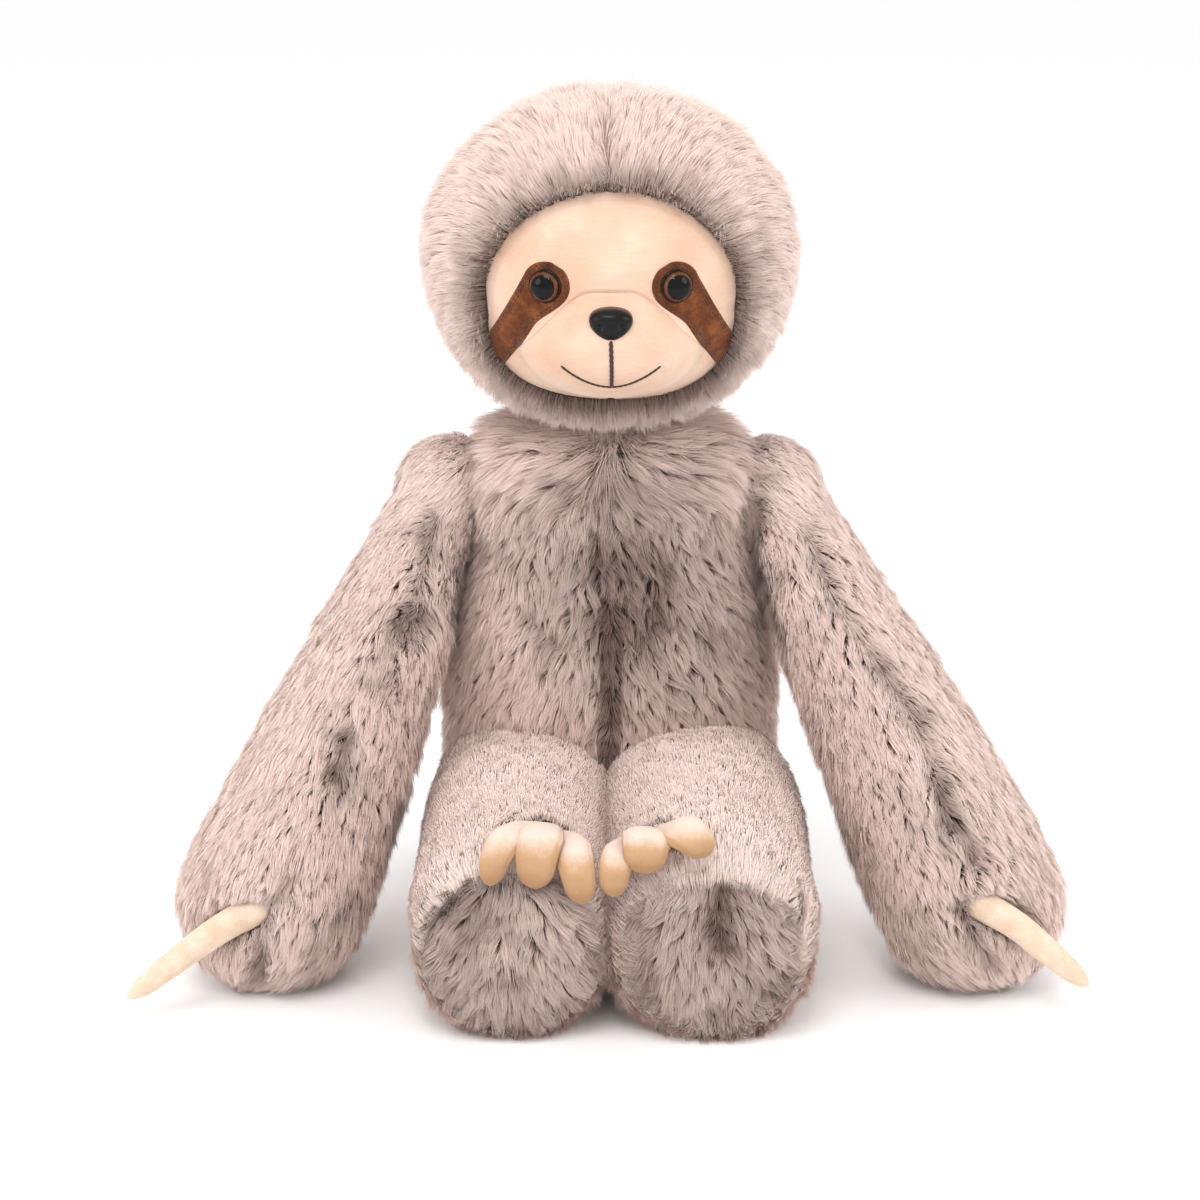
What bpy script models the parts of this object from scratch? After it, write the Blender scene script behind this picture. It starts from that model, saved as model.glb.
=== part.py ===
"""Plush sloth: sewn covers, fibre fillings, face panels, safety eyes, nose and claws.

Metres, +Z up, the face towards -Y. The origin is on the flat underside of the seat.
Left and right are as seen by someone who faces the toy: left is at -X.
"""

import math

import bmesh
import bpy
from mathutils import Vector

# Cloth and fits
cloth_thickness = 0.002
suede_thickness = 0.0012
fit_gap = 0.0003
cut_overrun = 0.03
floor_flat_depth = 0.0005
sharp_edge_angle = math.radians(50)

# Torso
torso_height = 0.247
torso_half_width = 0.078
torso_half_depth = 0.056
torso_sides = 24
torso_squareness = 2.3
# rows: height, half width, half depth, centre's shift to the back in half depths
torso_shares = [
    (0.0, 0.78, 0.60, 0.35),
    (0.03, 0.88, 0.72, 0.25),
    (0.10, 0.96, 0.86, 0.12),
    (0.20, 1.00, 0.95, 0.05),
    (0.36, 1.00, 1.00, 0.0),
    (0.50, 0.985, 1.00, 0.0),
    (0.62, 0.93, 0.95, 0.0),
    (0.74, 0.84, 0.87, 0.0),
    (0.84, 0.80, 0.77, 0.0),
    (0.91, 0.77, 0.68, 0.0),
    (0.96, 0.67, 0.55, 0.0),
    (0.99, 0.52, 0.42, 0.0),
    (1.0, 0.36, 0.29, 0.0),
]

# Head
head_centre_z = 0.3275
head_centre_y = -0.004
head_half_width = 0.084
head_half_depth = 0.078
head_half_height = 0.076
head_sides = 28
head_rows = 14
face_drop = 0.0085
face_centre_z = head_centre_z - face_drop
muzzle_centre_y = -0.058
muzzle_drop = 0.019
muzzle_centre_z = face_centre_z - muzzle_drop
muzzle_half_width = 0.044
muzzle_half_depth = 0.034
muzzle_half_height = 0.0285
muzzle_sides = 24
muzzle_rows = 10
face_half_width = 0.0585
face_half_height = 0.0505
face_back_y = -0.03
face_sides = 32
# the seam from the middle of the nose bridge out to the hood, in face half sizes
muzzle_seam_shares = [(0.0, 0.13), (0.22, 0.11), (0.36, 0.0), (0.62, -0.30), (1.2, -1.0)]

# Eye patches: a round end about the eye and a tail that runs back to the hood
eye_x = 0.030
eye_rise = 0.009
eye_z = face_centre_z + eye_rise
patch_round_radius = 0.0112
patch_round_points = 14
patch_tail_half_width = 0.0082
patch_tail_x = 0.0560
patch_tail_drop = 0.0265
patch_tail_z = face_centre_z - patch_tail_drop

# Eyes: a clear dome with a stem, held by a locking washer
eye_radius = 0.0075
eye_dome_height = 0.0052
eye_rim_height = 0.0008
eye_base_share = 0.94
stem_radius = 0.0016
stem_length = 0.0105
washer_radius = 0.0055
washer_thickness = 0.0012
round_sides = 16
dome_rows = 4

# Nose
nose_x = 0.0
nose_rise = 0.0125
nose_z = muzzle_centre_z + nose_rise
nose_half_width = 0.0098
nose_half_height = 0.0080
nose_height_above = 0.0075
nose_sides = 24
nose_triangle_share = 0.16
# rows: height above the muzzle, size
nose_profile_shares = [
    (-1.2, 0.80),
    (0.0, 0.98),
    (0.35, 1.0),
    (0.70, 0.90),
    (0.92, 0.62),
    (1.0, 0.30),
]

# Mouth stitches
philtrum_radius = 0.0010
philtrum_top_rise = 0.0020
philtrum_bottom_drop = 0.0162
philtrum_top_z = muzzle_centre_z + philtrum_top_rise
philtrum_bottom_z = muzzle_centre_z - philtrum_bottom_drop
smile_radius = 0.0007
smile_half_width = 0.0230
smile_corner_drop = 0.0078
smile_middle_drop = 0.0188
smile_corner_z = muzzle_centre_z - smile_corner_drop
smile_middle_z = muzzle_centre_z - smile_middle_drop
stitch_points = 9

# Neck
neck_radius = 0.029
neck_pivot_z = 0.250
ball_sides = 24
ball_rows = 12

# Arms
shoulder_x = 0.081
shoulder_y = -0.002
shoulder_z = 0.212
shoulder_radius = 0.025
left_hand_x = 0.161
right_hand_x = 0.172
hand_y = -0.112
hand_radius = 0.0395
arm_sides = 16
arm_cap_rows = 4
arm_opening_share = 0.55
# rows: distance from shoulder to hand, growth from shoulder radius to hand radius
arm_shares = [
    (0.05, -0.18),
    (0.13, -0.15),
    (0.26, -0.04),
    (0.42, 0.22),
    (0.58, 0.50),
    (0.76, 0.80),
    (0.90, 0.96),
]

# Claws on the hands
hand_claw_half_width = 0.0076
hand_claw_half_thickness = 0.0062
left_claw_tip_x = 0.2235
right_claw_tip_x = 0.2205
hand_claw_tip_y = -0.170
hand_claw_tip_z = 0.0125
left_claw_root_x = 0.150
right_claw_root_x = 0.156
hand_claw_root_y = -0.136
hand_claw_root_z = 0.046
hand_claw_bow = 0.006
claw_sides = 8
hand_claw_rows = 8
claw_tip_share = 0.62
claw_round_end_share = 0.14

# Legs
hip_x = 0.0425
hip_y = -0.045
hip_half_width = 0.0405
hip_radius = 0.046
leg_half_height = 0.049
foot_half_width = 0.0445
foot_x = 0.0455
leg_length = 0.140
leg_sides = 20
hip_cap_rows = 4
# rows: distance from hip to sole, half width, half height, drop of the centre
leg_shares = [
    (0.20, 0.93, 0.985, 0.0),
    (0.45, 0.97, 1.0, 0.0),
    (0.70, 1.0, 1.0, 0.0),
    (0.85, 0.985, 0.975, 0.02),
    (0.93, 0.93, 0.91, 0.06),
    (0.98, 0.80, 0.78, 0.10),
    (1.02, 0.52, 0.50, 0.12),
]
foot_end_share = 1.035
foot_end_drop_share = 0.12
sole_half_width = 0.0375
sole_half_height = 0.0355
sole_centre_drop = 0.004
swing_clearance = 0.0012
swing_slices = 10
swing_arc_points = 10
leg_raise_limit = math.radians(40)
leg_droop_limit = math.radians(10)

# Claws on the feet: each leaves the top of the foot, arches forwards and hangs before the sole
foot_claw_half_thickness = 0.0034
foot_claw_rows = 10
foot_claw_root_share = 0.50
foot_claw_widest_share = 0.45
foot_claw_start = math.radians(15)
foot_claw_end = math.radians(80)
foot_claw_back_share = 0.79
foot_claw_arch_share = 1.11
foot_claw_front_share = 1.06
foot_claw_sink = 0.003
# each claw: root and tip across the foot, in foot half widths from its middle inwards,
# the tip's height above the foot's middle in leg half heights, the arch's rise, the half width
left_foot_claws = [
    (0.14, -0.20, 0.60, 0.0100, 0.0062),
    (0.42, 0.37, 0.57, 0.0165, 0.0082),
    (0.70, 0.82, 0.42, 0.0175, 0.0068),
]
right_foot_claws = [
    (0.80, 0.90, 0.50, 0.0240, 0.0056),
    (0.52, 0.55, 0.72, 0.0175, 0.0082),
    (0.24, 0.02, 0.90, 0.0130, 0.0068),
]

# Seat bag
bag_half_width = 0.040
bag_half_depth = 0.017
bag_half_height = 0.013
bag_centre_y = 0.026
bag_sides = 16
bag_rows = 8


def clear_scene():
    for item in list(bpy.data.objects):
        bpy.data.objects.remove(item, do_unlink=True)


def linear(channel):
    return channel / 12.92 if channel <= 0.04045 else ((channel + 0.055) / 1.055) ** 2.4


def make_material(name, colour, roughness, metallic=0.0):
    material = bpy.data.materials.new(name)
    material.use_nodes = True
    shader = material.node_tree.nodes["Principled BSDF"]
    red, green, blue = (linear(int(colour[i:i + 2], 16) / 255) for i in (1, 3, 5))
    shader.inputs["Base Color"].default_value = (red, green, blue, 1.0)
    shader.inputs["Roughness"].default_value = roughness
    shader.inputs["Metallic"].default_value = metallic
    material.diffuse_color = (red, green, blue, 1.0)
    return material


def oval_ring(centre, half_width, half_depth, sides, squareness=2.0):
    """A closed ring of points in a level plane, a superellipse."""
    ring = []
    for i in range(sides):
        angle = 2 * math.pi * i / sides
        cosine, sine = math.cos(angle), math.sin(angle)
        across = math.copysign(abs(cosine) ** (2 / squareness), cosine)
        along = math.copysign(abs(sine) ** (2 / squareness), sine)
        ring.append(centre + Vector((half_width * across, half_depth * along, 0)))
    return ring


def ring_across(centre, direction, side, radius_side, radius_up, sides):
    """A closed ring of points square to a direction, with the given radii."""
    forward = direction.normalized()
    side = (side - forward * side.dot(forward)).normalized()
    up = forward.cross(side)
    ring = []
    for i in range(sides):
        angle = 2 * math.pi * i / sides
        ring.append(centre + side * (radius_side * math.cos(angle)) + up * (radius_up * math.sin(angle)))
    return ring


def ball_rings(centre, half_width, half_depth, half_height, sides, rows):
    """Rings of an upright ellipsoid from its bottom point to its top point."""
    rings = [[centre - Vector((0, 0, half_height))]]
    for row in range(1, rows):
        angle = math.pi * row / rows
        level = centre - Vector((0, 0, half_height * math.cos(angle)))
        rings.append(oval_ring(level, half_width * math.sin(angle), half_depth * math.sin(angle), sides))
    rings.append([centre + Vector((0, 0, half_height))])
    return rings


def add_loft(shape, rings):
    """Adds rings of points to a bmesh as one closed skin; a ring of one point is a pole."""
    levels = [[shape.verts.new(point) for point in ring] for ring in rings]
    for lower, upper in zip(levels, levels[1:]):
        count = max(len(lower), len(upper))
        for i in range(count):
            j = (i + 1) % count
            if len(lower) == 1:
                shape.faces.new((lower[0], upper[j], upper[i]))
            elif len(upper) == 1:
                shape.faces.new((lower[i], lower[j], upper[0]))
            else:
                shape.faces.new((lower[i], lower[j], upper[j], upper[i]))
    for level in (levels[0], levels[-1]):
        if len(level) > 1:
            shape.faces.new(level)
    return levels


def offset_rings(rings, distance):
    """The same rings, each point moved along the skin's normal; inwards is negative."""
    shape = bmesh.new()
    levels = add_loft(shape, rings)
    bmesh.ops.recalc_face_normals(shape, faces=shape.faces)
    shape.normal_update()
    moved = []
    for level in levels:
        moved.append([vert.co + vert.normal * (distance * vert.calc_shell_factor()) for vert in level])
    shape.free()
    return moved


def every_second(rings):
    return [ring if len(ring) == 1 else ring[::2] for ring in rings]


def build_object(name, fill_shape, pivot=Vector((0, 0, 0)), material=None):
    """An object whose mesh fill_shape adds in world places, with its origin at the pivot."""
    shape = bmesh.new()
    fill_shape(shape)
    bmesh.ops.recalc_face_normals(shape, faces=shape.faces)
    bmesh.ops.translate(shape, vec=-pivot, verts=shape.verts)
    mesh = bpy.data.meshes.new(name)
    shape.to_mesh(mesh)
    shape.free()
    mesh.shade_smooth()
    mesh.set_sharp_from_angle(angle=sharp_edge_angle)
    item = bpy.data.objects.new(name, mesh)
    item.location = pivot
    bpy.context.scene.collection.objects.link(item)
    if material:
        mesh.materials.append(material)
    return item


def loft_object(name, rings, pivot=Vector((0, 0, 0)), material=None):
    return build_object(name, lambda shape: add_loft(shape, rings), pivot, material)


def as_cutter(item):
    item.hide_render = True
    item.display_type = "WIRE"
    return item


def combine(item, other, operation):
    change = item.modifiers.new(f"{operation.lower()} {other.name}", "BOOLEAN")
    change.operation = operation
    change.solver = "EXACT"
    change.object = other


def cut(item, *cutters):
    for cutter in cutters:
        combine(item, cutter, "DIFFERENCE")


def turned_rings(base, axis, profile, sides):
    """Rings about an axis; the profile has (distance along the axis, radius) rows, zero radius at poles."""
    side = axis.orthogonal()
    rings = []
    for along, radius in profile:
        centre = base + axis * along
        rings.append([centre] if radius == 0 else ring_across(centre, axis, side, radius, radius, sides))
    return rings


def rod(name, start, end, radius, sides):
    axis = (end - start).normalized()
    profile = [(0, radius), ((end - start).length, radius)]
    return as_cutter(loft_object(name, turned_rings(start, axis, profile, sides)))


def prism_in_front(name, outline, front_y, back_y):
    """A block whose outline is in the plane of X and Z, from front_y to back_y."""
    rings = [[Vector((x, y, z)) for x, z in outline] for y in (front_y, back_y)]
    return as_cutter(loft_object(name, rings))


def ellipsoid_surface(x, z, centre, half_width, half_depth, half_height):
    """The point and outward direction of an ellipsoid's front at the given X and Z."""
    across, up = (x - centre.x) / half_width, (z - centre.z) / half_height
    depth = half_depth * math.sqrt(1 - across * across - up * up)
    point = Vector((x, centre.y - depth, z))
    offset = point - centre
    normal = Vector((offset.x / half_width ** 2, offset.y / half_depth ** 2, offset.z / half_height ** 2))
    return point, normal.normalized()


def head_front(x, z):
    centre = Vector((0, head_centre_y, head_centre_z))
    return ellipsoid_surface(x, z, centre, head_half_width, head_half_depth, head_half_height)


def muzzle_front(x, z):
    centre = Vector((0, muzzle_centre_y, muzzle_centre_z))
    return ellipsoid_surface(x, z, centre, muzzle_half_width, muzzle_half_depth, muzzle_half_height)


def torso_rings():
    rings = []
    for height, width, depth, shift in torso_shares:
        centre = Vector((0, shift * torso_half_depth, height * torso_height))
        half_width, half_depth = width * torso_half_width, depth * torso_half_depth
        rings.append(oval_ring(centre, half_width, half_depth, torso_sides, torso_squareness))
    return rings


def side_axis(sign):
    return Vector((sign, 0, 0))


def shoulder_point(sign):
    return Vector((sign * shoulder_x, shoulder_y, shoulder_z))


def hand_point(sign):
    x = left_hand_x if sign < 0 else right_hand_x
    return Vector((sign * x, hand_y, hand_radius - floor_flat_depth))


def arm_rings(sign):
    """Shoulder ball, shaft and hand, with a round end at both ends."""
    start, end = shoulder_point(sign), hand_point(sign)
    axis = (end - start).normalized()
    length = (end - start).length
    rings = [[start - axis * shoulder_radius]]
    for row in range(1, arm_cap_rows + 1):
        angle = math.pi / 2 * row / arm_cap_rows
        centre = start - axis * (shoulder_radius * math.cos(angle))
        radius = shoulder_radius * math.sin(angle)
        rings.append(ring_across(centre, axis, side_axis(1), radius, radius, arm_sides))
    for along, growth in arm_shares:
        radius = shoulder_radius + growth * (hand_radius - shoulder_radius)
        centre = start + axis * (along * length)
        rings.append(ring_across(centre, axis, side_axis(1), radius, radius, arm_sides))
    for row in range(arm_cap_rows):
        angle = math.pi / 2 * row / arm_cap_rows
        centre = end + axis * (hand_radius * math.sin(angle))
        radius = hand_radius * math.cos(angle)
        rings.append(ring_across(centre, axis, side_axis(1), radius, radius, arm_sides))
    rings.append([end + axis * hand_radius])
    return rings


def hip_point(sign):
    return Vector((sign * hip_x, hip_y, leg_half_height - floor_flat_depth))


def leg_rings(sign):
    """Hip end round about the hip's axis, then the leg and its rounded foot."""
    hip = hip_point(sign)
    back = Vector((0, 1, 0))
    rings = [[hip + back * hip_radius]]
    for row in range(1, hip_cap_rows + 1):
        angle = math.pi / 2 * row / hip_cap_rows
        centre = hip + back * (hip_radius * math.cos(angle))
        width, height = hip_half_width * math.sin(angle), hip_radius * math.sin(angle)
        rings.append(ring_across(centre, -back, side_axis(1), width, height, leg_sides))
    for along, width, height, drop in leg_shares:
        centre = leg_centre(sign, along) - Vector((0, 0, drop * leg_half_height))
        half_width, half_height = width * foot_half_width, height * leg_half_height
        rings.append(ring_across(centre, -back, side_axis(1), half_width, half_height, leg_sides))
    rings.append([leg_centre(sign, foot_end_share) - Vector((0, 0, foot_end_drop_share * leg_half_height))])
    return rings


def leg_centre(sign, along):
    hip = hip_point(sign)
    return Vector((hip.x + along * (sign * foot_x - hip.x), hip.y - along * leg_length, hip.z))


def swing_cutter(sign):
    """What the leg sweeps between its limits, in slices across X, each a round back and a fan ahead."""
    hip = hip_point(sign)
    raised, lowered = math.pi - leg_raise_limit, math.pi + leg_droop_limit
    arc_start, arc_end = raised - math.pi / 2, lowered + math.pi / 2 - 2 * math.pi
    arc_step = (arc_end - arc_start) / swing_arc_points
    half_width = foot_half_width + abs(foot_x - hip_x) + swing_clearance
    near, _, near_height, _ = leg_shares[0]
    corners = [(lowered, arc_end, near, near_height), (lowered, arc_end, 1, 1),
               (raised, arc_start, 1, 1), (raised, arc_start, near, near_height)]
    slices = []
    for row in range(swing_slices + 1):
        across = half_width * math.cos(math.pi * row / swing_slices)
        hip_share = math.sqrt(max(0.0, 1 - (across / (hip_half_width + swing_clearance)) ** 2))
        leg_share = math.sqrt(max(0.0, 1 - (across / half_width) ** 2))
        round_radius = swing_clearance + hip_share * hip_radius / math.cos(arc_step / 2)
        outline = []
        for i in range(swing_arc_points + 1):
            angle = arc_start + arc_step * i
            outline.append((round_radius * math.cos(angle), round_radius * math.sin(angle)))
        for direction, square, along, height in corners:
            reach = along * leg_length
            radius = swing_clearance + leg_share * height * leg_half_height
            outline.append((reach * math.cos(direction) + radius * math.cos(square),
                            reach * math.sin(direction) + radius * math.sin(square)))
        slices.append([hip + Vector((across, y, z)) for y, z in outline])
    return as_cutter(loft_object(f"leg_swing_{sign}", slices))


def ball_cutter(name, centre, radius):
    """A faceted ball that lies wholly outside the true ball of the given radius."""
    outside = radius / (math.cos(math.pi / ball_sides) * math.cos(math.pi / (2 * ball_rows)))
    return as_cutter(loft_object(name, ball_rings(centre, outside, outside, outside, ball_sides, ball_rows)))


def floor_cutter():
    """Everything below the floor, which flattens what rests on it."""
    reach = torso_height + right_hand_x + hand_radius + leg_length
    corners = [(-reach, -reach), (reach, -reach), (reach, reach), (-reach, reach)]
    rings = [[Vector((x, y, z)) for x, y in corners] for z in (-reach, 0)]
    return as_cutter(loft_object("floor_cut", rings))


def build_torso(materials, cutters):
    outer = torso_rings()
    cover = loft_object("torso_cover", outer, material=materials["body_fur"])
    cavity = as_cutter(loft_object("torso_cavity", offset_rings(outer, -cloth_thickness)))
    cut(cover, cavity, cutters["neck_ball"], *cutters["shoulder_balls"], *cutters["leg_swings"])
    fill = loft_object("torso_fill", every_second(offset_rings(outer, -cloth_thickness - fit_gap)),
                       material=materials["fibre"])
    bag_centre = Vector((0, bag_centre_y, cloth_thickness + fit_gap + bag_half_height))
    bag = ball_rings(bag_centre, bag_half_width, bag_half_depth, bag_half_height, bag_sides, bag_rows)
    loft_object("seat_pellet_bag", bag, material=materials["pellets"])
    pocket_width, pocket_depth = bag_half_width + fit_gap, bag_half_depth + fit_gap
    pocket = ball_rings(bag_centre, pocket_width, pocket_depth, bag_half_height + fit_gap,
                        bag_sides, bag_rows)
    below = bag_centre - Vector((0, 0, bag_centre.z + cut_overrun))
    pocket[:bag_rows // 2] = [oval_ring(below, pocket_width, pocket_depth, bag_sides)]
    bag_pocket = as_cutter(loft_object("bag_pocket", pocket))
    cut(fill, cutters["neck_ball"], *cutters["shoulder_balls"], *cutters["leg_swings"], bag_pocket)


def build_head(materials, cutters, pivot):
    centre = Vector((0, head_centre_y, head_centre_z))
    outer = ball_rings(centre, head_half_width, head_half_depth, head_half_height, head_sides, head_rows)
    muzzle_centre = Vector((0, muzzle_centre_y, muzzle_centre_z))
    muzzle = ball_rings(muzzle_centre, muzzle_half_width, muzzle_half_depth, muzzle_half_height,
                        muzzle_sides, muzzle_rows)
    cavity = as_cutter(loft_object("head_cavity", offset_rings(outer, -cloth_thickness)))
    muzzle_cavity = as_cutter(loft_object("muzzle_cavity", offset_rings(muzzle, -cloth_thickness)))
    muzzle_bulge = as_cutter(loft_object("muzzle_bulge", muzzle))
    muzzle_clear = as_cutter(loft_object("muzzle_clear", offset_rings(muzzle, fit_gap)))
    front_y = muzzle_centre_y - muzzle_half_depth - cut_overrun
    hood_opening = prism_in_front("hood_opening", face_outline(fit_gap), front_y, face_back_y)
    face_block = prism_in_front("face_block", face_outline(0.0), front_y, face_back_y)

    hood = loft_object("head_cover", outer, pivot, materials["hood_fur"])
    cut(hood, cavity, hood_opening, cutters["neck_ball"])

    seam_gap = 2 * fit_gap
    muzzle_block = prism_in_front("muzzle_block", muzzle_outline(-seam_gap), front_y - cut_overrun,
                                  face_back_y + cut_overrun)
    forehead_cut = prism_in_front("forehead_cut", muzzle_outline(0.0), front_y - cut_overrun,
                                  face_back_y + cut_overrun)
    panels = []
    for name, operation, block in (("forehead_panel", "DIFFERENCE", forehead_cut),
                                   ("muzzle_panel", "INTERSECT", muzzle_block)):
        panel = loft_object(name, outer, pivot, materials["velour"])
        combine(panel, muzzle_bulge, "UNION")
        cut(panel, cavity, muzzle_cavity)
        combine(panel, face_block, "INTERSECT")
        combine(panel, block, operation)
        panels.append(panel)

    inside = -cloth_thickness - fit_gap
    fill = loft_object("head_fill", every_second(offset_rings(outer, inside)), pivot, materials["fibre"])
    muzzle_fill = as_cutter(loft_object("muzzle_fill", every_second(offset_rings(muzzle, inside))))
    combine(fill, muzzle_fill, "UNION")
    cut(fill, cutters["neck_ball"])
    return hood, panels, fill, outer, face_block, muzzle_clear


def face_outline(extra):
    outline = []
    for i in range(face_sides):
        angle = 2 * math.pi * i / face_sides
        outline.append(((face_half_width + extra) * math.cos(angle),
                        face_centre_z + (face_half_height + extra) * math.sin(angle)))
    return outline


def muzzle_outline(rise):
    """The muzzle's seam, both halves, closed below the face."""
    right = [(x * face_half_width, face_centre_z + z * face_half_height + rise)
             for x, z in muzzle_seam_shares]
    left = [(-x, z) for x, z in reversed(right[1:])]
    below = face_centre_z - 2 * face_half_height
    edge = muzzle_seam_shares[-1][0] * face_half_width
    return left + right + [(edge, below), (-edge, below)]


def patch_outline(sign):
    """A round end about the eye, drawn out to a tail that meets the hood."""
    eye = Vector((eye_x, eye_z))
    tail = Vector((patch_tail_x, patch_tail_z))
    along = (tail - eye).normalized()
    across = Vector((-along.y, along.x))
    start = math.atan2(across.y, across.x)
    points = []
    for i in range(patch_round_points + 1):
        angle = start + math.pi * i / patch_round_points
        points.append(eye + Vector((math.cos(angle), math.sin(angle))) * patch_round_radius)
    points.append(tail - across * patch_tail_half_width)
    points.append(tail + across * patch_tail_half_width)
    return [(sign * point.x, point.y) for point in points]


def build_patch(side, sign, outer, face_block, muzzle_clear, pivot, material):
    patch = loft_object(f"{side}_eye_patch", offset_rings(outer, fit_gap + suede_thickness), pivot, material)
    under = as_cutter(loft_object(f"{side}_patch_under", offset_rings(outer, fit_gap)))
    front_y = muzzle_centre_y - muzzle_half_depth - cut_overrun
    block = prism_in_front(f"{side}_patch_block", patch_outline(sign), front_y - cut_overrun,
                           face_back_y - fit_gap)
    cut(patch, under)
    combine(patch, face_block, "INTERSECT")
    combine(patch, block, "INTERSECT")
    cut(patch, muzzle_clear)
    return patch


def build_stemmed(name, washer_name, rings, base, axis, inner_depth, pivot, materials, shade):
    """A face fitting with a stem through the cloth and a washer behind it."""
    stem_end = base - axis * stem_length
    fitting = loft_object(name, rings, pivot, materials[shade])
    stem = rod(f"{name}_stem", base + axis * fit_gap, stem_end, stem_radius, round_sides // 2)
    hole = rod(f"{name}_hole", base + axis * cut_overrun, stem_end - axis * fit_gap,
               stem_radius + fit_gap, round_sides // 2)
    washer_front = base - axis * (inner_depth + fit_gap)
    profile = [(0, washer_radius), (-washer_thickness, washer_radius)]
    washer = loft_object(washer_name, turned_rings(washer_front, axis, profile, round_sides), pivot,
                         materials["white_plastic"])
    cut(washer, hole)
    pocket = rod(f"{name}_pocket", base, stem_end - axis * fit_gap, washer_radius + fit_gap, round_sides)
    return fitting, stem, hole, washer, pocket


def crown(reach, radius):
    """How far a round surface of the radius falls away at the given reach."""
    return reach ** 2 / (2 * radius)


def facet_depth(half_width, sides, half_height, rows):
    """How far the flat facets of a ball's mesh lie inside the true ball."""
    return half_width * (1 - math.cos(math.pi / sides)) + half_height * (1 - math.cos(math.pi / (2 * rows)))


def eye_profile():
    rows = [(0, eye_radius * eye_base_share), (eye_rim_height, eye_radius)]
    for row in range(1, dome_rows):
        angle = math.pi / 2 * row / dome_rows
        rows.append((eye_rim_height + (eye_dome_height - eye_rim_height) * math.sin(angle),
                     eye_radius * math.cos(angle)))
    rows.append((eye_dome_height, 0))
    return rows


def nose_rings():
    """A rounded triangle, wide at the top, that stands out from the muzzle."""
    surface, _ = muzzle_front(nose_x, nose_z)
    rings = []
    for height, size in nose_profile_shares:
        y = surface.y - height * nose_height_above
        ring = []
        for i in range(nose_sides):
            angle = 2 * math.pi * i / nose_sides
            taper = 1 + nose_triangle_share * math.sin(angle)
            bulge = 1 - nose_triangle_share / 2 * math.cos(4 * angle)
            ring.append(Vector((nose_x + size * nose_half_width * bulge * taper * math.cos(angle), y,
                                nose_z + size * nose_half_height * bulge * math.sin(angle))))
        rings.append(ring)
    return rings


def stitch_curve(name, places, radius, pivot, material):
    """A thread that lies on the muzzle along the given X and Z places."""
    curve = bpy.data.curves.new(name, "CURVE")
    curve.dimensions = "3D"
    curve.bevel_depth = radius
    curve.bevel_resolution = 1
    curve.use_fill_caps = True
    line = curve.splines.new("POLY")
    line.points.add(len(places) - 1)
    for point, (x, z) in zip(line.points, places):
        surface, normal = muzzle_front(x, z)
        place = surface + normal * (radius + fit_gap) - pivot
        point.co = (*place, 1.0)
    curve.materials.append(material)
    item = bpy.data.objects.new(name, curve)
    item.location = pivot
    bpy.context.scene.collection.objects.link(item)
    return item


def smile_places():
    places = []
    for i in range(2 * stitch_points - 1):
        across = 2 * i / (2 * stitch_points - 2) - 1
        height = smile_middle_z + (smile_corner_z - smile_middle_z) * across ** 2
        places.append((smile_half_width * across, height))
    return places


def philtrum_places():
    fall = philtrum_top_z - philtrum_bottom_z
    return [(nose_x, philtrum_top_z - fall * i / (stitch_points - 1)) for i in range(stitch_points)]


def add_children(parent, items):
    for item in items:
        item.parent = parent
        item.location = item.location - parent.location


def make_pivot(name, place):
    pivot = bpy.data.objects.new(name, None)
    pivot.location = place
    bpy.context.scene.collection.objects.link(pivot)
    return pivot


def claw_rings(centres, half_width, half_thickness, sides, rows, tip_share, root_share=1.0):
    """A padded claw along its centres: it narrows towards a round tip, and may towards its root."""
    rings = []
    for i, centre in enumerate(centres):
        share = i / rows
        ahead = centres[min(i + 1, rows)] - centres[max(i - 1, 0)]
        fullness = 1 - (1 - tip_share) * share ** 2
        fullness *= root_share + (1 - root_share) * min(1.0, share / foot_claw_widest_share)
        into_end = max(0.0, (share - 1) / claw_round_end_share + 1)
        size = fullness * math.sqrt(1 - into_end ** 2)
        if i == rows:
            rings.append([centre])
        else:
            rings.append(ring_across(centre, ahead, sides[i], half_width * size,
                                     half_thickness * size, claw_sides))
    return rings


def hand_claw_rings(sign):
    root_x = left_claw_root_x if sign < 0 else right_claw_root_x
    tip_x = left_claw_tip_x if sign < 0 else right_claw_tip_x
    root = Vector((sign * root_x, hand_claw_root_y, hand_claw_root_z))
    tip = Vector((sign * tip_x, hand_claw_tip_y, hand_claw_tip_z))
    centres = []
    for i in range(hand_claw_rows + 1):
        share = i / hand_claw_rows
        bow = Vector((0, 0, hand_claw_bow * math.sin(math.pi * share)))
        centres.append(root.lerp(tip, share) + bow)
    sides = [Vector((0, 0, 1))] * len(centres)
    return claw_rings(centres, hand_claw_half_width, hand_claw_half_thickness, sides, hand_claw_rows,
                      claw_tip_share)


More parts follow.
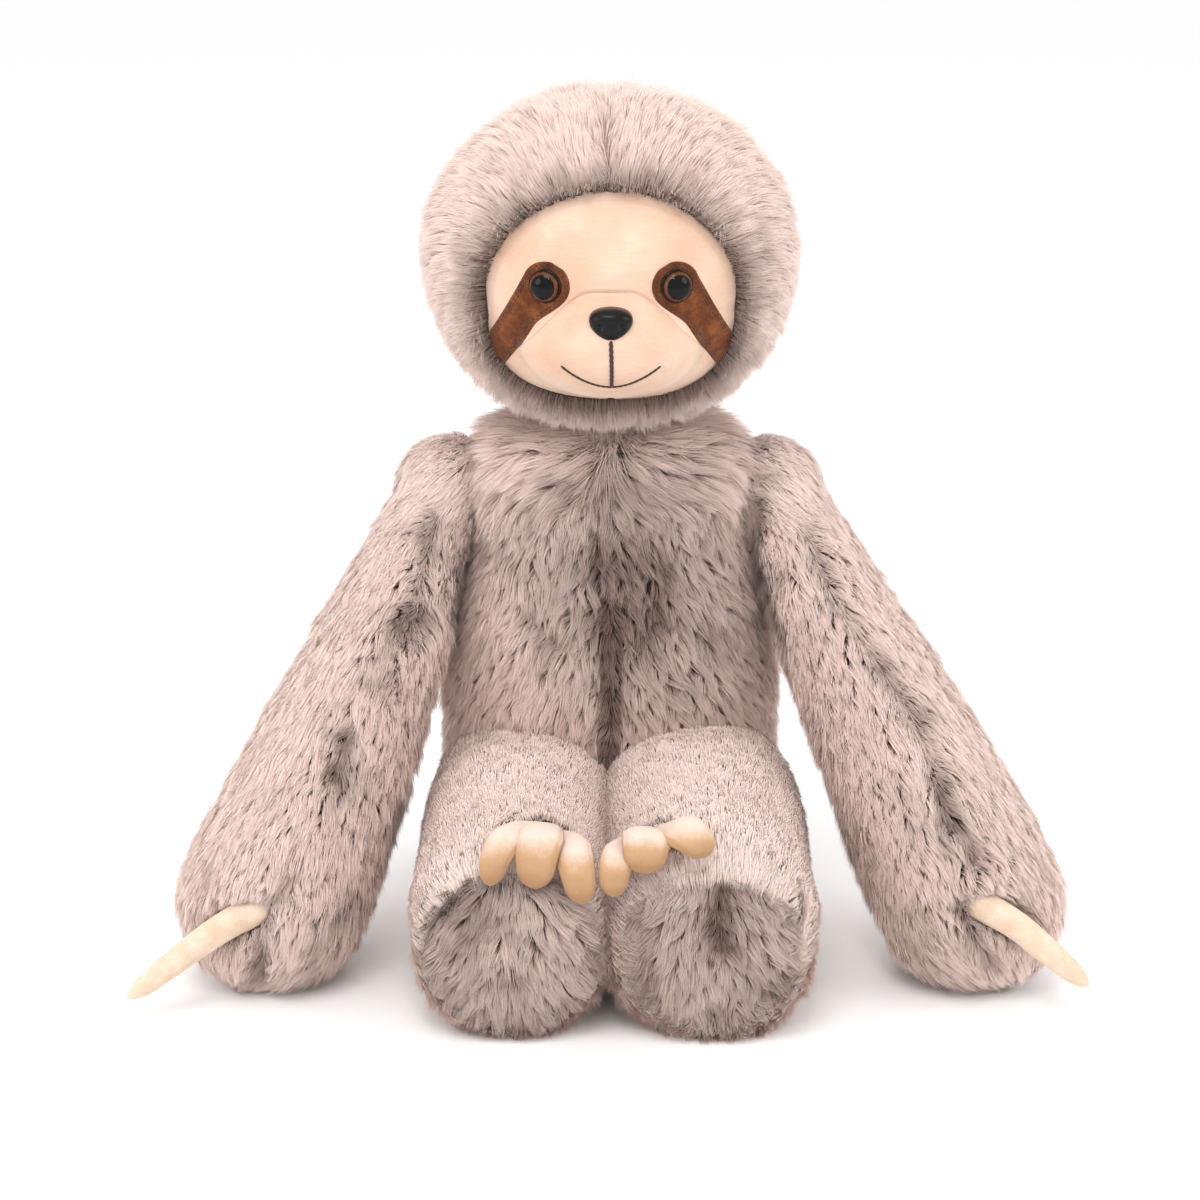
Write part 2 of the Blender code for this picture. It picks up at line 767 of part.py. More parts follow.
def foot_claw_rings(sign, root_share, tip_share, tip_height, rise, half_width):
    """A claw on a curve of three control points: in the foot's top, over the arch, at the tip."""
    hip = hip_point(sign)
    arch_share = (root_share + tip_share) / 2
    root_height = leg_half_height * math.sqrt(1 - root_share ** 2) - foot_claw_sink
    arch_height = leg_half_height * math.sqrt(1 - arch_share ** 2) + rise
    places = []
    for along, across, height in ((foot_claw_back_share, root_share, root_height),
                                  (foot_claw_arch_share, arch_share, arch_height),
                                  (foot_claw_front_share, tip_share, tip_height * leg_half_height)):
        x = sign * (foot_x - across * foot_half_width)
        places.append(Vector((x, hip.y - along * leg_length, hip.z + height)))
    root, arch, tip = places
    centres, sides = [], []
    for i in range(foot_claw_rows + 1):
        share = i / foot_claw_rows
        angle = foot_claw_start + (foot_claw_end - foot_claw_start) * share
        ahead = (arch - root).lerp(tip - arch, share)
        centres.append(root.lerp(arch, share).lerp(arch.lerp(tip, share), share))
        sides.append(ahead.cross(Vector((0, -math.sin(angle), math.cos(angle)))))
    return claw_rings(centres, half_width, foot_claw_half_thickness, sides, foot_claw_rows,
                      claw_tip_share, foot_claw_root_share)


def build_arm(side, sign, materials, cutters):
    pivot = shoulder_point(sign)
    outer = arm_rings(sign)
    cavity = as_cutter(loft_object(f"{side}_arm_cavity", offset_rings(outer, -cloth_thickness)))
    facet_share = math.cos(math.pi / arm_sides) * math.cos(math.pi / (4 * arm_cap_rows))
    wad_radius = (shoulder_radius - cloth_thickness) * facet_share - fit_gap
    opening = rod(f"{side}_armhole", pivot, pivot - side_axis(sign) * (shoulder_radius + cut_overrun),
                  arm_opening_share * shoulder_radius, round_sides)
    cover = loft_object(f"{side}_arm_cover", outer, pivot, materials["limb_fur"])
    cut(cover, cavity, opening, cutters["floor"])
    inside = offset_rings(outer, -cloth_thickness - fit_gap)
    fill = loft_object(f"{side}_arm_fill", every_second(inside), pivot, materials["fibre"])
    wad_clear = ball_cutter(f"{side}_wad_clear", pivot, shoulder_radius - cloth_thickness + fit_gap)
    cut(fill, wad_clear)
    wad = loft_object(f"{side}_shoulder_fill", ball_rings(pivot, wad_radius, wad_radius, wad_radius,
                                                          ball_sides, ball_rows), pivot, materials["fibre"])
    clear = as_cutter(loft_object(f"{side}_hand_clear", offset_rings(outer, fit_gap)))
    claw = loft_object(f"{side}_hand_claw", hand_claw_rings(sign), pivot, materials["claw_suede"])
    cut(claw, clear)
    add_children(make_pivot(f"{side}_shoulder", pivot), [cover, fill, wad, claw])


def build_leg(side, sign, materials, cutters, claw_shares):
    pivot = hip_point(sign)
    outer = leg_rings(sign)
    cavity = as_cutter(loft_object(f"{side}_leg_cavity", offset_rings(outer, -cloth_thickness)))
    sole_centre = leg_centre(sign, 1.0) - Vector((0, 0, sole_centre_drop))
    blocks = []
    for name, extra in (("sole_hole", fit_gap), ("sole_block", 0.0)):
        rings = [ring_across(sole_centre + Vector((0, shift, 0)), Vector((0, 1, 0)), side_axis(1),
                             sole_half_width + extra, sole_half_height + extra, leg_sides)
                 for shift in (-cut_overrun, cut_overrun)]
        blocks.append(as_cutter(loft_object(f"{side}_{name}", rings)))
    cover = loft_object(f"{side}_leg_cover", outer, pivot, materials["limb_fur"])
    cut(cover, cavity, blocks[0], cutters["floor"])
    sole = loft_object(f"{side}_sole", outer, pivot, materials["sole_fur"])
    cut(sole, cavity)
    combine(sole, blocks[1], "INTERSECT")
    inside = offset_rings(outer, -cloth_thickness - fit_gap)
    fill = loft_object(f"{side}_leg_fill", every_second(inside), pivot, materials["fibre"])
    clear = as_cutter(loft_object(f"{side}_foot_clear", offset_rings(outer, fit_gap)))
    claws = []
    for number, shares in enumerate(claw_shares, start=1):
        claw = loft_object(f"{side}_foot_claw_{number}", foot_claw_rings(sign, *shares), pivot,
                           materials["claw_suede"])
        cut(claw, clear)
        claws.append(claw)
    add_children(make_pivot(f"{side}_hip", pivot), [cover, sole, fill, *claws])


def build_face_fittings(materials, hood_parts, pivot):
    hood, panels, fill, outer, face_block, muzzle_clear = hood_parts
    forehead, muzzle = panels
    items = []
    for side, sign in (("left", -1), ("right", 1)):
        patch = build_patch(side, sign, outer, face_block, muzzle_clear, pivot, materials["patch_suede"])
        surface, normal = head_front(sign * eye_x, eye_z)
        base = surface + normal * (2 * fit_gap + suede_thickness - crown(eye_radius, head_half_height))
        depth = (base - surface).dot(normal) + cloth_thickness + crown(washer_radius, head_half_height)
        depth += facet_depth(head_half_width, head_sides, head_half_height, head_rows)
        eye, stem, hole, washer, pocket = build_stemmed(
            f"{side}_eye", f"{side}_eye_washer", turned_rings(base, normal, eye_profile(), round_sides),
            base, normal, depth, pivot, materials, "eye_plastic")
        combine(eye, stem, "UNION")
        cut(patch, hole)
        cut(forehead, hole)
        cut(fill, pocket)
        items += [patch, eye, washer]
    surface, normal = muzzle_front(nose_x, nose_z)
    depth = cloth_thickness + crown(washer_radius, muzzle_half_height) + fit_gap
    depth += facet_depth(muzzle_half_width, muzzle_sides, muzzle_half_height, muzzle_rows)
    nose, stem, hole, washer, pocket = build_stemmed(
        "nose", "nose_washer", nose_rings(), surface + normal * fit_gap, normal, depth,
        pivot, materials, "nose_plastic")
    cut(nose, muzzle_clear)
    combine(nose, stem, "UNION")
    cut(muzzle, hole)
    cut(fill, pocket)
    philtrum = stitch_curve("philtrum_stitch", philtrum_places(), philtrum_radius, pivot, materials["thread"])
    smile = stitch_curve("smile_stitch", smile_places(), smile_radius, pivot, materials["thread"])
    items += [nose, washer, philtrum, smile, hood, forehead, muzzle, fill]
    return items


def main():
    clear_scene()
    materials = {
        "body_fur": make_material("body_fur", "#A5928C", 0.95),
        "hood_fur": make_material("hood_fur", "#C9B3AC", 0.95),
        "limb_fur": make_material("limb_fur", "#D3BCB5", 0.95),
        "sole_fur": make_material("sole_fur", "#A08A82", 0.95),
        "velour": make_material("velour", "#F4DCC3", 0.85),
        "patch_suede": make_material("patch_suede", "#6B3B22", 0.80),
        "claw_suede": make_material("claw_suede", "#F1D8BC", 0.80),
        "eye_plastic": make_material("eye_plastic", "#14100E", 0.08),
        "nose_plastic": make_material("nose_plastic", "#1B1A1C", 0.35),
        "white_plastic": make_material("white_plastic", "#E6E4DE", 0.45),
        "thread": make_material("thread", "#3A2218", 0.70),
        "fibre": make_material("fibre", "#F2F0EC", 0.95),
        "pellets": make_material("pellets", "#D8D4CC", 0.80),
    }
    neck_pivot = Vector((0, 0, neck_pivot_z))
    cutters = {
        "neck_ball": ball_cutter("neck_ball", neck_pivot, neck_radius + fit_gap),
        "shoulder_balls": [ball_cutter(f"shoulder_ball_{sign}", shoulder_point(sign),
                                       shoulder_radius + fit_gap) for sign in (-1, 1)],
        "leg_swings": [swing_cutter(sign) for sign in (-1, 1)],
        "floor": floor_cutter(),
    }
    build_torso(materials, cutters)
    hood_parts = build_head(materials, cutters, neck_pivot)
    face_items = build_face_fittings(materials, hood_parts, neck_pivot)
    neck = loft_object("neck_fill", ball_rings(neck_pivot, neck_radius, neck_radius, neck_radius,
                                               ball_sides, ball_rows), neck_pivot, materials["fibre"])
    add_children(make_pivot("neck", neck_pivot), [neck, *face_items])
    build_arm("left", -1, materials, cutters)
    build_arm("right", 1, materials, cutters)
    build_leg("left", -1, materials, cutters, left_foot_claws)
    build_leg("right", 1, materials, cutters, right_foot_claws)


main()
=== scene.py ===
# %% [markdown]
# # A seated plush sloth, dressed over its CAD frame
#
# The toy is sewn from a frosted long-pile faux fur, with a cream velour face, brown suede eye
# patches, domed eyes, a moulded nose and padded suede claws. The frame gives the solids and the
# bodies that move. Every visible surface is made again here, in metres, in the frame's own
# places: first the backing of each fur part, then the pile as real strands, then the face.
import math

import bmesh
import bpy
import numpy as np
from mathutils import Matrix, Vector


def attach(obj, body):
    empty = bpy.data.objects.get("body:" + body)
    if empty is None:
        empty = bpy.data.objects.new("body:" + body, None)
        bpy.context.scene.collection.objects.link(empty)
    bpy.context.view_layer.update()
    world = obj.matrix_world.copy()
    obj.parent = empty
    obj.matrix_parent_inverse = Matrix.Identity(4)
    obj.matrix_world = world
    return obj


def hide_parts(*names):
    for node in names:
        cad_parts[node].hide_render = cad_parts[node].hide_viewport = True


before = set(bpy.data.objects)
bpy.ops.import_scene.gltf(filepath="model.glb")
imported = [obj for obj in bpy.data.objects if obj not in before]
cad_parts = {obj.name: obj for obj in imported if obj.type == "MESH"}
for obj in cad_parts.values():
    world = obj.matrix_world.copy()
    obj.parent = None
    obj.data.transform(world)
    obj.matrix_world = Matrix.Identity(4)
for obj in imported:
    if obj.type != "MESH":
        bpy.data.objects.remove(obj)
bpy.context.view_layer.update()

mm = 0.001
sides = ((-1, "left"), (1, "right"))

# %% [markdown]
# ## Camera, light and floor
#
# The photograph was taken from a little above the toy with a long lens, on white, under large
# soft lamps. A long lens keeps the hands, which are nearest, from growing. Broad lamps above the
# camera, at both sides and behind give the flat light with a bright room round them, and a small
# one puts the glint in the eyes. The floor is plain and pale, and only the contact shadows show.

# %% Camera
camera_target = Vector((-0.005, 0, 0.153))
camera_distance = 1.6
camera_elevation = math.radians(17)
picture_pixels = 1200
focal_pixels = 3200
sensor_mm = 36

camera_data = bpy.data.cameras.new("studio_camera")
camera_data.sensor_width = sensor_mm
camera_data.lens = focal_pixels / picture_pixels * sensor_mm
camera = bpy.data.objects.new("studio_camera", camera_data)
sight = Vector((0, -math.cos(camera_elevation), math.sin(camera_elevation)))
camera.location = camera_target + sight * camera_distance
camera.rotation_euler = (math.pi / 2 - camera_elevation, 0, 0)
bpy.context.scene.collection.objects.link(camera)
bpy.context.scene.camera = camera
print("camera at", [round(v, 3) for v in camera.location])


def in_picture(points):
    """Where the camera sees points, in pixels of the square photograph."""
    rel = np.asarray(points) - np.array(camera_target)
    depth = camera_distance - rel @ np.array(sight)
    up = rel[..., 1] * math.sin(camera_elevation) + rel[..., 2] * math.cos(camera_elevation)
    middle = picture_pixels / 2
    across = middle + focal_pixels * rel[..., 0] / depth
    return np.stack([across, middle - focal_pixels * up / depth], -1)


# %% Colours, nodes and materials
def linear(colour):
    """An sRGB hex value as linear red, green, blue and alpha."""
    channels = [int(colour[i:i + 2], 16) / 255 for i in (1, 3, 5)]
    return (*[c / 12.92 if c <= 0.04045 else ((c + 0.055) / 1.055) ** 2.4 for c in channels], 1.0)


def add_node(tree, kind, settings=None, links=None, stops=()):
    """A node with its settings, by socket name, number or property, its links and colour stops."""
    node = tree.nodes.new(kind)
    for key, value in (settings or {}).items():
        if isinstance(key, int) or key in node.inputs:
            node.inputs[key].default_value = value
        else:
            setattr(node, key, value)
    for key, source in (links or {}).items():
        tree.links.new(source, node.inputs[key])
    elements = node.color_ramp.elements if stops else []
    while len(elements) < len(stops):
        elements.new(0.5)
    for element, (place, colour) in zip(elements, stops):
        element.position = place
        element.color = linear(colour)
    return node


def new_material(name, **shader_settings):
    """A material with a Principled shader; underscores in the settings stand for spaces."""
    material = bpy.data.materials.new(name)
    material.use_nodes = True
    shader = material.node_tree.nodes["Principled BSDF"]
    for key, value in shader_settings.items():
        shader.inputs[key.replace("_", " ")].default_value = value
    return material, material.node_tree, shader


def surface_noise(tree, feature, detail=2.0, roughness=0.5, stretch=(1, 1, 1)):
    """A fine irregular pattern from 0 to 1 all through a piece, with features of a real size."""
    place = add_node(tree, "ShaderNodeTexCoord").outputs["Object"]
    place = add_node(tree, "ShaderNodeMapping", {"Scale": stretch}, {"Vector": place}).outputs["Vector"]
    settings = {"Scale": 1 / feature, "Detail": detail, "Roughness": roughness}
    return add_node(tree, "ShaderNodeTexNoise", settings, {"Vector": place}).outputs["Fac"]


def finish_surface(tree, shader, tint, stops, height=None, strength=0.0, depth=0.3 * mm):
    """Colours a material by one pattern, and raises its surface by another."""
    colour = add_node(tree, "ShaderNodeValToRGB", {}, {0: tint}, stops).outputs["Color"]
    tree.links.new(colour, shader.inputs["Base Color"])
    if height is not None:
        raised = add_node(tree, "ShaderNodeBump", {"Strength": strength, "Distance": depth},
                          {"Height": height})
        tree.links.new(raised.outputs["Normal"], shader.inputs["Normal"])


# %% Studio
def lamp(name, place, aim, size, power):
    """A round soft lamp of a width in metres and a power in watts, aimed at a place."""
    data = bpy.data.lights.new(name, "AREA")
    data.shape = "DISK"
    data.size = size
    data.energy = power
    item = bpy.data.objects.new(name, data)
    item.location = place
    item.rotation_euler = (Vector(aim) - Vector(place)).to_track_quat("-Z", "Y").to_euler()
    bpy.context.scene.collection.objects.link(item)


lamp("top_lamp", (-0.25, -0.9, 1.7), (0, 0, 0.15), 0.9, 9)
lamp("left_lamp", (-1.5, -0.9, 0.8), (0, 0, 0.2), 0.9, 5)
lamp("right_lamp", (1.5, -0.7, 0.9), (0, 0, 0.2), 0.9, 5)
lamp("window_lamp", (0.05, -1.25, 1.35), (0, 0, 0.3), 0.10, 1.2)
lamp("back_lamp", (0.3, 1.4, 1.3), (0, 0, 0.2), 0.9, 5)
world = bpy.data.worlds.new("white_room")
world.use_nodes = True
walls = world.node_tree.nodes["Background"].inputs
walls["Color"].default_value = (1, 1, 1, 1)
walls["Strength"].default_value = 1.0
bpy.context.scene.world = world
bpy.context.scene.view_settings.view_transform = "Standard"

floor_reach = 30.0
floor_mesh = bpy.data.meshes.new("studio_floor")
floor_mesh.from_pydata([(x, y, 0) for x, y in ((-1, -1), (1, -1), (1, 1), (-1, 1))], [], [(0, 1, 2, 3)])
floor_mesh.transform(Matrix.Scale(floor_reach, 4))
floor = bpy.data.objects.new("studio_floor", floor_mesh)
floor_material, _, _ = new_material("matt_white_paper", Base_Color=linear("#FCFCFC"), Roughness=0.95)
floor_mesh.materials.append(floor_material)
bpy.context.scene.collection.objects.link(floor)
print("studio has", len(bpy.data.lights), "lamps and a floor", 2 * floor_reach, "m wide")

# %% [markdown]
# ## Backings: the shapes under the pile
#
# Under the fur each part is a stuffed cloth form. Its places are the CAD's, with more rows so
# that it is smooth. The torso is a soft sack, the head a ball, an arm a sausage that widens to a
# mitten, and a leg a stump with a rounded foot. Cloth simulation would only blur these, because
# the pile hides the cloth's own folds; the puckers and seams that do show are pressed in by code
# where the photograph has them, and the pile then parts there.

# %% Sizes of the solids
torso_height = 247 * mm
torso_half_width = 78 * mm
torso_half_depth = 56 * mm
torso_squareness = 2.3
torso_shares = np.array([
    (0.0, 0.78, 0.60, 0.35), (0.03, 0.88, 0.72, 0.25), (0.10, 0.96, 0.86, 0.12), (0.20, 1.0, 0.95, 0.05),
    (0.36, 1.0, 1.0, 0.0), (0.50, 0.985, 1.0, 0.0), (0.62, 0.93, 0.95, 0.0), (0.74, 0.84, 0.87, 0.0),
    (0.84, 0.80, 0.77, 0.0), (0.91, 0.77, 0.68, 0.0), (0.96, 0.67, 0.55, 0.0), (0.99, 0.52, 0.42, 0.0),
    (1.0, 0.36, 0.29, 0.0)])
head_centre = np.array((0, -4, 327.5)) * mm
head_half = np.array((84, 78, 76)) * mm
neck_centre = np.array((0, 0, 250)) * mm
neck_radius = 29 * mm
shoulder = {-1: np.array((-81, -2, 212)) * mm, 1: np.array((81, -2, 212)) * mm}
shoulder_radius = 25 * mm
hand = {-1: np.array((-161, -112, 39)) * mm, 1: np.array((172, -112, 39)) * mm}
hand_radius = 39.5 * mm
arm_shares = np.array([(0.0, 0.0), (0.05, -0.18), (0.13, -0.15), (0.26, -0.04), (0.42, 0.22), (0.58, 0.50),
                       (0.76, 0.80), (0.90, 0.96), (1.0, 1.0)])
hip = {-1: np.array((-42.5, -45, 48.5)) * mm, 1: np.array((42.5, -45, 48.5)) * mm}
hip_half_width = 40.5 * mm
hip_radius = 46 * mm
leg_half_height = 49 * mm
foot_half_width = 44.5 * mm
foot_x = 45.5 * mm
leg_length = 140 * mm
leg_shares = np.array([(0.20, 0.93, 0.985, 0.0), (0.45, 0.97, 1.0, 0.0), (0.70, 1.0, 1.0, 0.0),
                       (0.85, 0.985, 0.975, 0.02), (0.93, 0.93, 0.91, 0.06), (0.98, 0.80, 0.78, 0.10),
                       (1.02, 0.52, 0.50, 0.12), (1.035, 0.02, 0.02, 0.12)])
for side, word in sides:
    print(word, "arm is", round(float(np.linalg.norm(hand[side] - shoulder[side]) / mm)), "mm long to the hand")

# %% Curves
def smooth_curve(x, places, values):
    """A smooth line through (places, values), read at x."""
    places, values = np.asarray(places, float), np.asarray(values, float)
    slopes = np.gradient(values, places)
    i = np.clip(np.searchsorted(places, x) - 1, 0, len(places) - 2)
    step = places[i + 1] - places[i]
    u = np.clip((x - places[i]) / step, 0, 1)
    return ((1 + 2 * u) * (1 - u) ** 2 * values[i] + u * (1 - u) ** 2 * step * slopes[i]
            + u * u * (3 - 2 * u) * values[i + 1] + u * u * (u - 1) * step * slopes[i + 1])


def unit(vectors):
    """The same directions, one long."""
    return vectors / np.maximum(np.linalg.norm(vectors, axis=-1, keepdims=True), 1e-12)


def dot(a, b):
    """How far each vector goes along the other one."""
    return (a * b).sum(-1, keepdims=True)


def rise(values, start, run):
    """Nothing up to the start, then rising evenly to one over the run."""
    return np.clip((values - start) / run, 0, 1)


def hump(values, width):
    """One at zero, and nearly nothing at twice the width."""
    return np.exp(-(values / width) ** 2)


def squarer(wave, power):
    """A sine or cosine whose ring turns squarer as the power falls under one."""
    return np.sign(wave) * np.abs(wave) ** power


# %% Skins
def full_turn(count):
    """Angles spread evenly round a ring."""
    return np.linspace(0, 2 * math.pi, count, endpoint=False)


turns = full_turn(96)


def make_skin(points):
    """Rows of points, each row a closed ring, with directions along the rows, round and outwards."""
    down = unit(np.gradient(points, axis=0))
    around = unit(np.roll(points, -1, axis=1) - np.roll(points, 1, axis=1))
    out = unit(np.cross(down, around))
    centre = points.mean(axis=(0, 1))
    if (dot(out, points - centre)).mean() < 0:
        out = -out
    return {"points": points, "down": down, "out": out}


def ball(rows, pole):
    """A ball of radius one, as rings from near its top to near its bottom."""
    polar = np.linspace(pole, math.pi - pole, rows)[:, None]
    return np.stack([np.sin(polar) * np.sin(turns), -np.sin(polar) * np.cos(turns),
                     np.cos(polar) * np.ones_like(turns)], -1)


# %% Torso shape
end_rows = 4
pole_size = 0.02


def torso_half(z):
    """Half width, half depth and shift to the rear of the torso at heights."""
    share = np.clip(z / torso_height, 0, 1)
    columns = [smooth_curve(share, torso_shares[:, 0], torso_shares[:, i]) for i in (1, 2, 3)]
    return columns[0] * torso_half_width, columns[1] * torso_half_depth, columns[2] * torso_half_depth


def torso_points(rows=110):
    """Rings of the torso from its top down, drawn together over the end rows."""
    z = (1 - np.linspace(0, 1, rows)) * torso_height
    width, depth, shift = torso_half(z)
    for from_end in (np.arange(rows), np.arange(rows)[::-1]):
        taper = np.minimum(1, np.sqrt(np.maximum(pole_size, from_end / end_rows)))
        width, depth = width * taper, depth * taper
    x = width[:, None] * squarer(np.sin(turns), 2 / torso_squareness)
    y = shift[:, None] - depth[:, None] * squarer(np.cos(turns), 2 / torso_squareness)
    return np.stack([x, y, np.repeat(z[:, None], len(turns), 1)], -1)


# %% Arm shape
# Between shoulder and hand the arm swells by its shares, and a ball closes it at each end. At
# the shoulder the cloth is slimmer than the solid, because the pile adds there what it lacks.
shoulder_slimming = 4.0 * mm
slimmed_length = 80 * mm


def arm_frame(side):
    """The arm's direction, its length, and its front and side directions."""
    axis = hand[side] - shoulder[side]
    length = np.linalg.norm(axis)
    axis = axis / length
    front = np.array((0, -1.0, 0))
    front = unit(front - axis * (front @ axis))
    return axis, length, front, np.cross(axis, front)


def arm_radius(along, length):
    """Radius at distances along the arm, with a ball's own radius past each end."""
    growth = smooth_curve(np.clip(along / length, 0, 1), arm_shares[:, 0], arm_shares[:, 1])
    radius = shoulder_radius + growth * (hand_radius - shoulder_radius)
    before = np.sqrt(np.maximum(0, shoulder_radius ** 2 - np.minimum(along, 0) ** 2))
    after = np.sqrt(np.maximum(0, hand_radius ** 2 - np.maximum(along - length, 0) ** 2))
    return np.where(along < 0, before, np.where(along > length, after, radius))


def arm_points(side):
    """Rings of an arm, from over the shoulder to the end of the hand."""
    axis, length, front, across = arm_frame(side)
    ends = np.linspace(0.06, math.pi / 2, 20)
    along = np.concatenate([-shoulder_radius * np.cos(ends), np.linspace(0, length, 72)[1:-1],
                            length + hand_radius * np.cos(ends[::-1])])
    slimmer = shoulder_slimming * np.clip(1 - along / slimmed_length, 0, 1) ** 2
    radius = np.maximum(arm_radius(along, length) - slimmer, 0.5 * mm)
    ring = front * np.cos(turns)[:, None] + across * np.sin(turns)[:, None]
    return shoulder[side] + axis * along[:, None, None] + ring * radius[:, None, None]


# %% Leg shape
# The thighs look a little fuller and squarer in the photograph than the solids are, and the
# right leg fuller than the left one.
thigh_front = -135 * mm
thigh_run = 60 * mm
thigh_fuller = 4 * mm
thigh_squareness = 0.20
right_leg_fuller = 3 * mm
foot_starts, foot_reach = 0.90, 0.1345


def leg_sizes(y):
    """Middle, half width and half height of a leg at a depth, for the right side."""
    along = (hip[1][1] - y) / leg_length
    back = np.sqrt(np.maximum(0, 1 - (np.minimum(along, 0) * leg_length / hip_radius) ** 2))
    places = np.concatenate([[0], leg_shares[:, 0]])
    width = smooth_curve(along, places, [hip_half_width, *leg_shares[:, 1] * foot_half_width])
    height = smooth_curve(along, places, [hip_radius, *leg_shares[:, 2] * leg_half_height])
    drop = smooth_curve(along, places, [0, *leg_shares[:, 3] * leg_half_height])
    share = np.clip(along, 0, 1.04)
    middle_x = hip[1][0] + share * (foot_x - hip[1][0])
    width = np.where(along < 0, hip_half_width * back, width)
    height = np.where(along < 0, hip_radius * back, height)
    middle_z = hip[1][2] - np.where(along > 0, drop, 0)
    return middle_x, middle_z, np.maximum(width, 0), np.maximum(height, 0)


def leg_points(side):
    """Rings of a leg, from its round rear end to the sole."""
    ends = np.linspace(0.06, math.pi / 2, 16)
    shaft = np.linspace(0, foot_starts, 50)[1:]
    foot = foot_starts + foot_reach * np.sin(np.linspace(0, math.pi / 2, 26))[1:]
    y = hip[1][1] + np.concatenate([hip_radius * np.cos(ends), -shaft * leg_length, -foot * leg_length])
    middle_x, middle_z, width, height = leg_sizes(y)
    rearness = rise(y, thigh_front, thigh_run)
    fuller = (right_leg_fuller if side > 0 else 0) + thigh_fuller * rearness
    fuller = fuller * np.minimum(1, height / leg_half_height)
    power = (1 - thigh_squareness * rearness)[:, None]
    x = middle_x[:, None] + (width + fuller)[:, None] * squarer(np.sin(turns), power)
    z = middle_z[:, None] + (height + fuller)[:, None] * squarer(np.cos(turns), power)
    return np.stack([side * x, np.repeat(y[:, None], len(turns), 1), z], -1)


# %% Where one part is inside another
# Each of these says which places lie inside a part that has been made larger by a margin.
def in_torso(p, margin=0.0):
    width, depth, shift = torso_half(p[:, 2])
    inside = (np.abs(p[:, 0]) / (width + margin)) ** torso_squareness
    inside += (np.abs(p[:, 1] - shift) / (depth + margin)) ** torso_squareness
    return (inside < 1) & (p[:, 2] > 0) & (p[:, 2] < torso_height + margin)


def in_head(p, margin=0.0):
    return (((p - head_centre) / (head_half + margin)) ** 2).sum(1) < 1


def in_arm(p, side, margin=0.0):
    axis, length, _, _ = arm_frame(side)
    rel = p - shoulder[side]
    along = rel @ axis
    away = np.linalg.norm(rel - along[:, None] * axis, axis=1)
    return away < arm_radius(along, length) + margin


def in_leg(p, side, margin=0.0):
    middle_x, middle_z, width, height = leg_sizes(p[:, 1])
    across = (p[:, 0] - side * middle_x) / np.maximum(width + margin, 1e-6)
    up = (p[:, 2] - middle_z) / np.maximum(height + margin, 1e-6)
    along = (hip[1][1] - p[:, 1]) / leg_length
    return (across ** 2 + up ** 2 < 1) & (along < 1.035) & (p[:, 1] < hip[1][1] + hip_radius)


# %% Noise and hashing for tufts
cell_shift = 1000


def scramble(cells):
    """Three repeatable numbers from 0 to 1 for each whole-number cell."""
    value = (cells[..., 0] * 73856093) ^ (cells[..., 1] * 19349663) ^ (cells[..., 2] * 83492791)
    numbers = []
    for turn in range(3):
        value = (value ^ (value >> 13)) * 1274126177 + turn * 668265263
        value = value & 0xFFFFFFFF
        numbers.append(((value ^ (value >> 16)) & 0xFFFF) / 65535)
    return np.stack(numbers, -1)


def soft_noise(points, size, shift=0):
    """Three smooth noises from -1 to 1, with features of the given size."""
    scaled = points / size + cell_shift + shift
    cell = np.floor(scaled).astype(np.int64)
    part = scaled - cell
    part = part * part * (3 - 2 * part)
    total = 0
    for corner in range(8):
        step = np.array([(corner >> axis) & 1 for axis in range(3)])
        weight = np.where(step, part, 1 - part).prod(-1, keepdims=True)
        total = total + weight * scramble(cell + step)
    return 2 * total - 1


def nearest_tuft(points, size):
    """The middle of each point's tuft, and three numbers of that tuft."""
    scaled = points / size + cell_shift
    cell = np.floor(scaled).astype(np.int64)
    best = np.full(len(points), np.inf)
    middle, numbers = np.zeros_like(points), np.zeros_like(points)
    for corner in range(27):
        there = cell + np.array([corner % 3 - 1, corner // 3 % 3 - 1, corner // 9 - 1])
        jitter = scramble(there)
        place = there + jitter
        away = ((place - scaled) ** 2).sum(1)
        nearer = away < best
        best[nearer] = away[nearer]
        middle[nearer] = (place[nearer] - cell_shift) * size
        numbers[nearer] = jitter[nearer][:, ::-1]
    return middle, 2 * numbers - 1


# %% [markdown]
# ## Seams and puckers
#
# A sewn seam and a tight pucker pull the cloth in, and the pile falls away from them on both
# sides, so that its dark roots show as a line. Each is drawn as a short path over the skin, at
# the places where the photograph shows it, and carried on to the back where only the sewing
# tells where it must run.


# %% Paths over a skin
lump_size = 28 * mm
lump_height = 1.2 * mm
cloth_above_floor = 0.6 * mm


def on_skin(skin, pixels, rear=False):
    """Points of the skin at the given places of the picture, on its front or its rear."""
    flat, out = skin["points"].reshape(-1, 3), skin["out"].reshape(-1, 3)
    facing = out @ np.array(sight)
    usable = flat[facing < -0.1] if rear else flat[facing > 0.1]
    seen = in_picture(usable)
    chosen = [usable[((seen - np.array(pixel)) ** 2).sum(1).argmin()] for pixel in pixels]
    return np.array(chosen)


def drawn_paths(skin, drawn):
    """Paths over a skin, each from its places in the picture, its width in mm and its force."""
    return [(on_skin(skin, pixels), width * mm, force) for pixels, width, force in drawn]


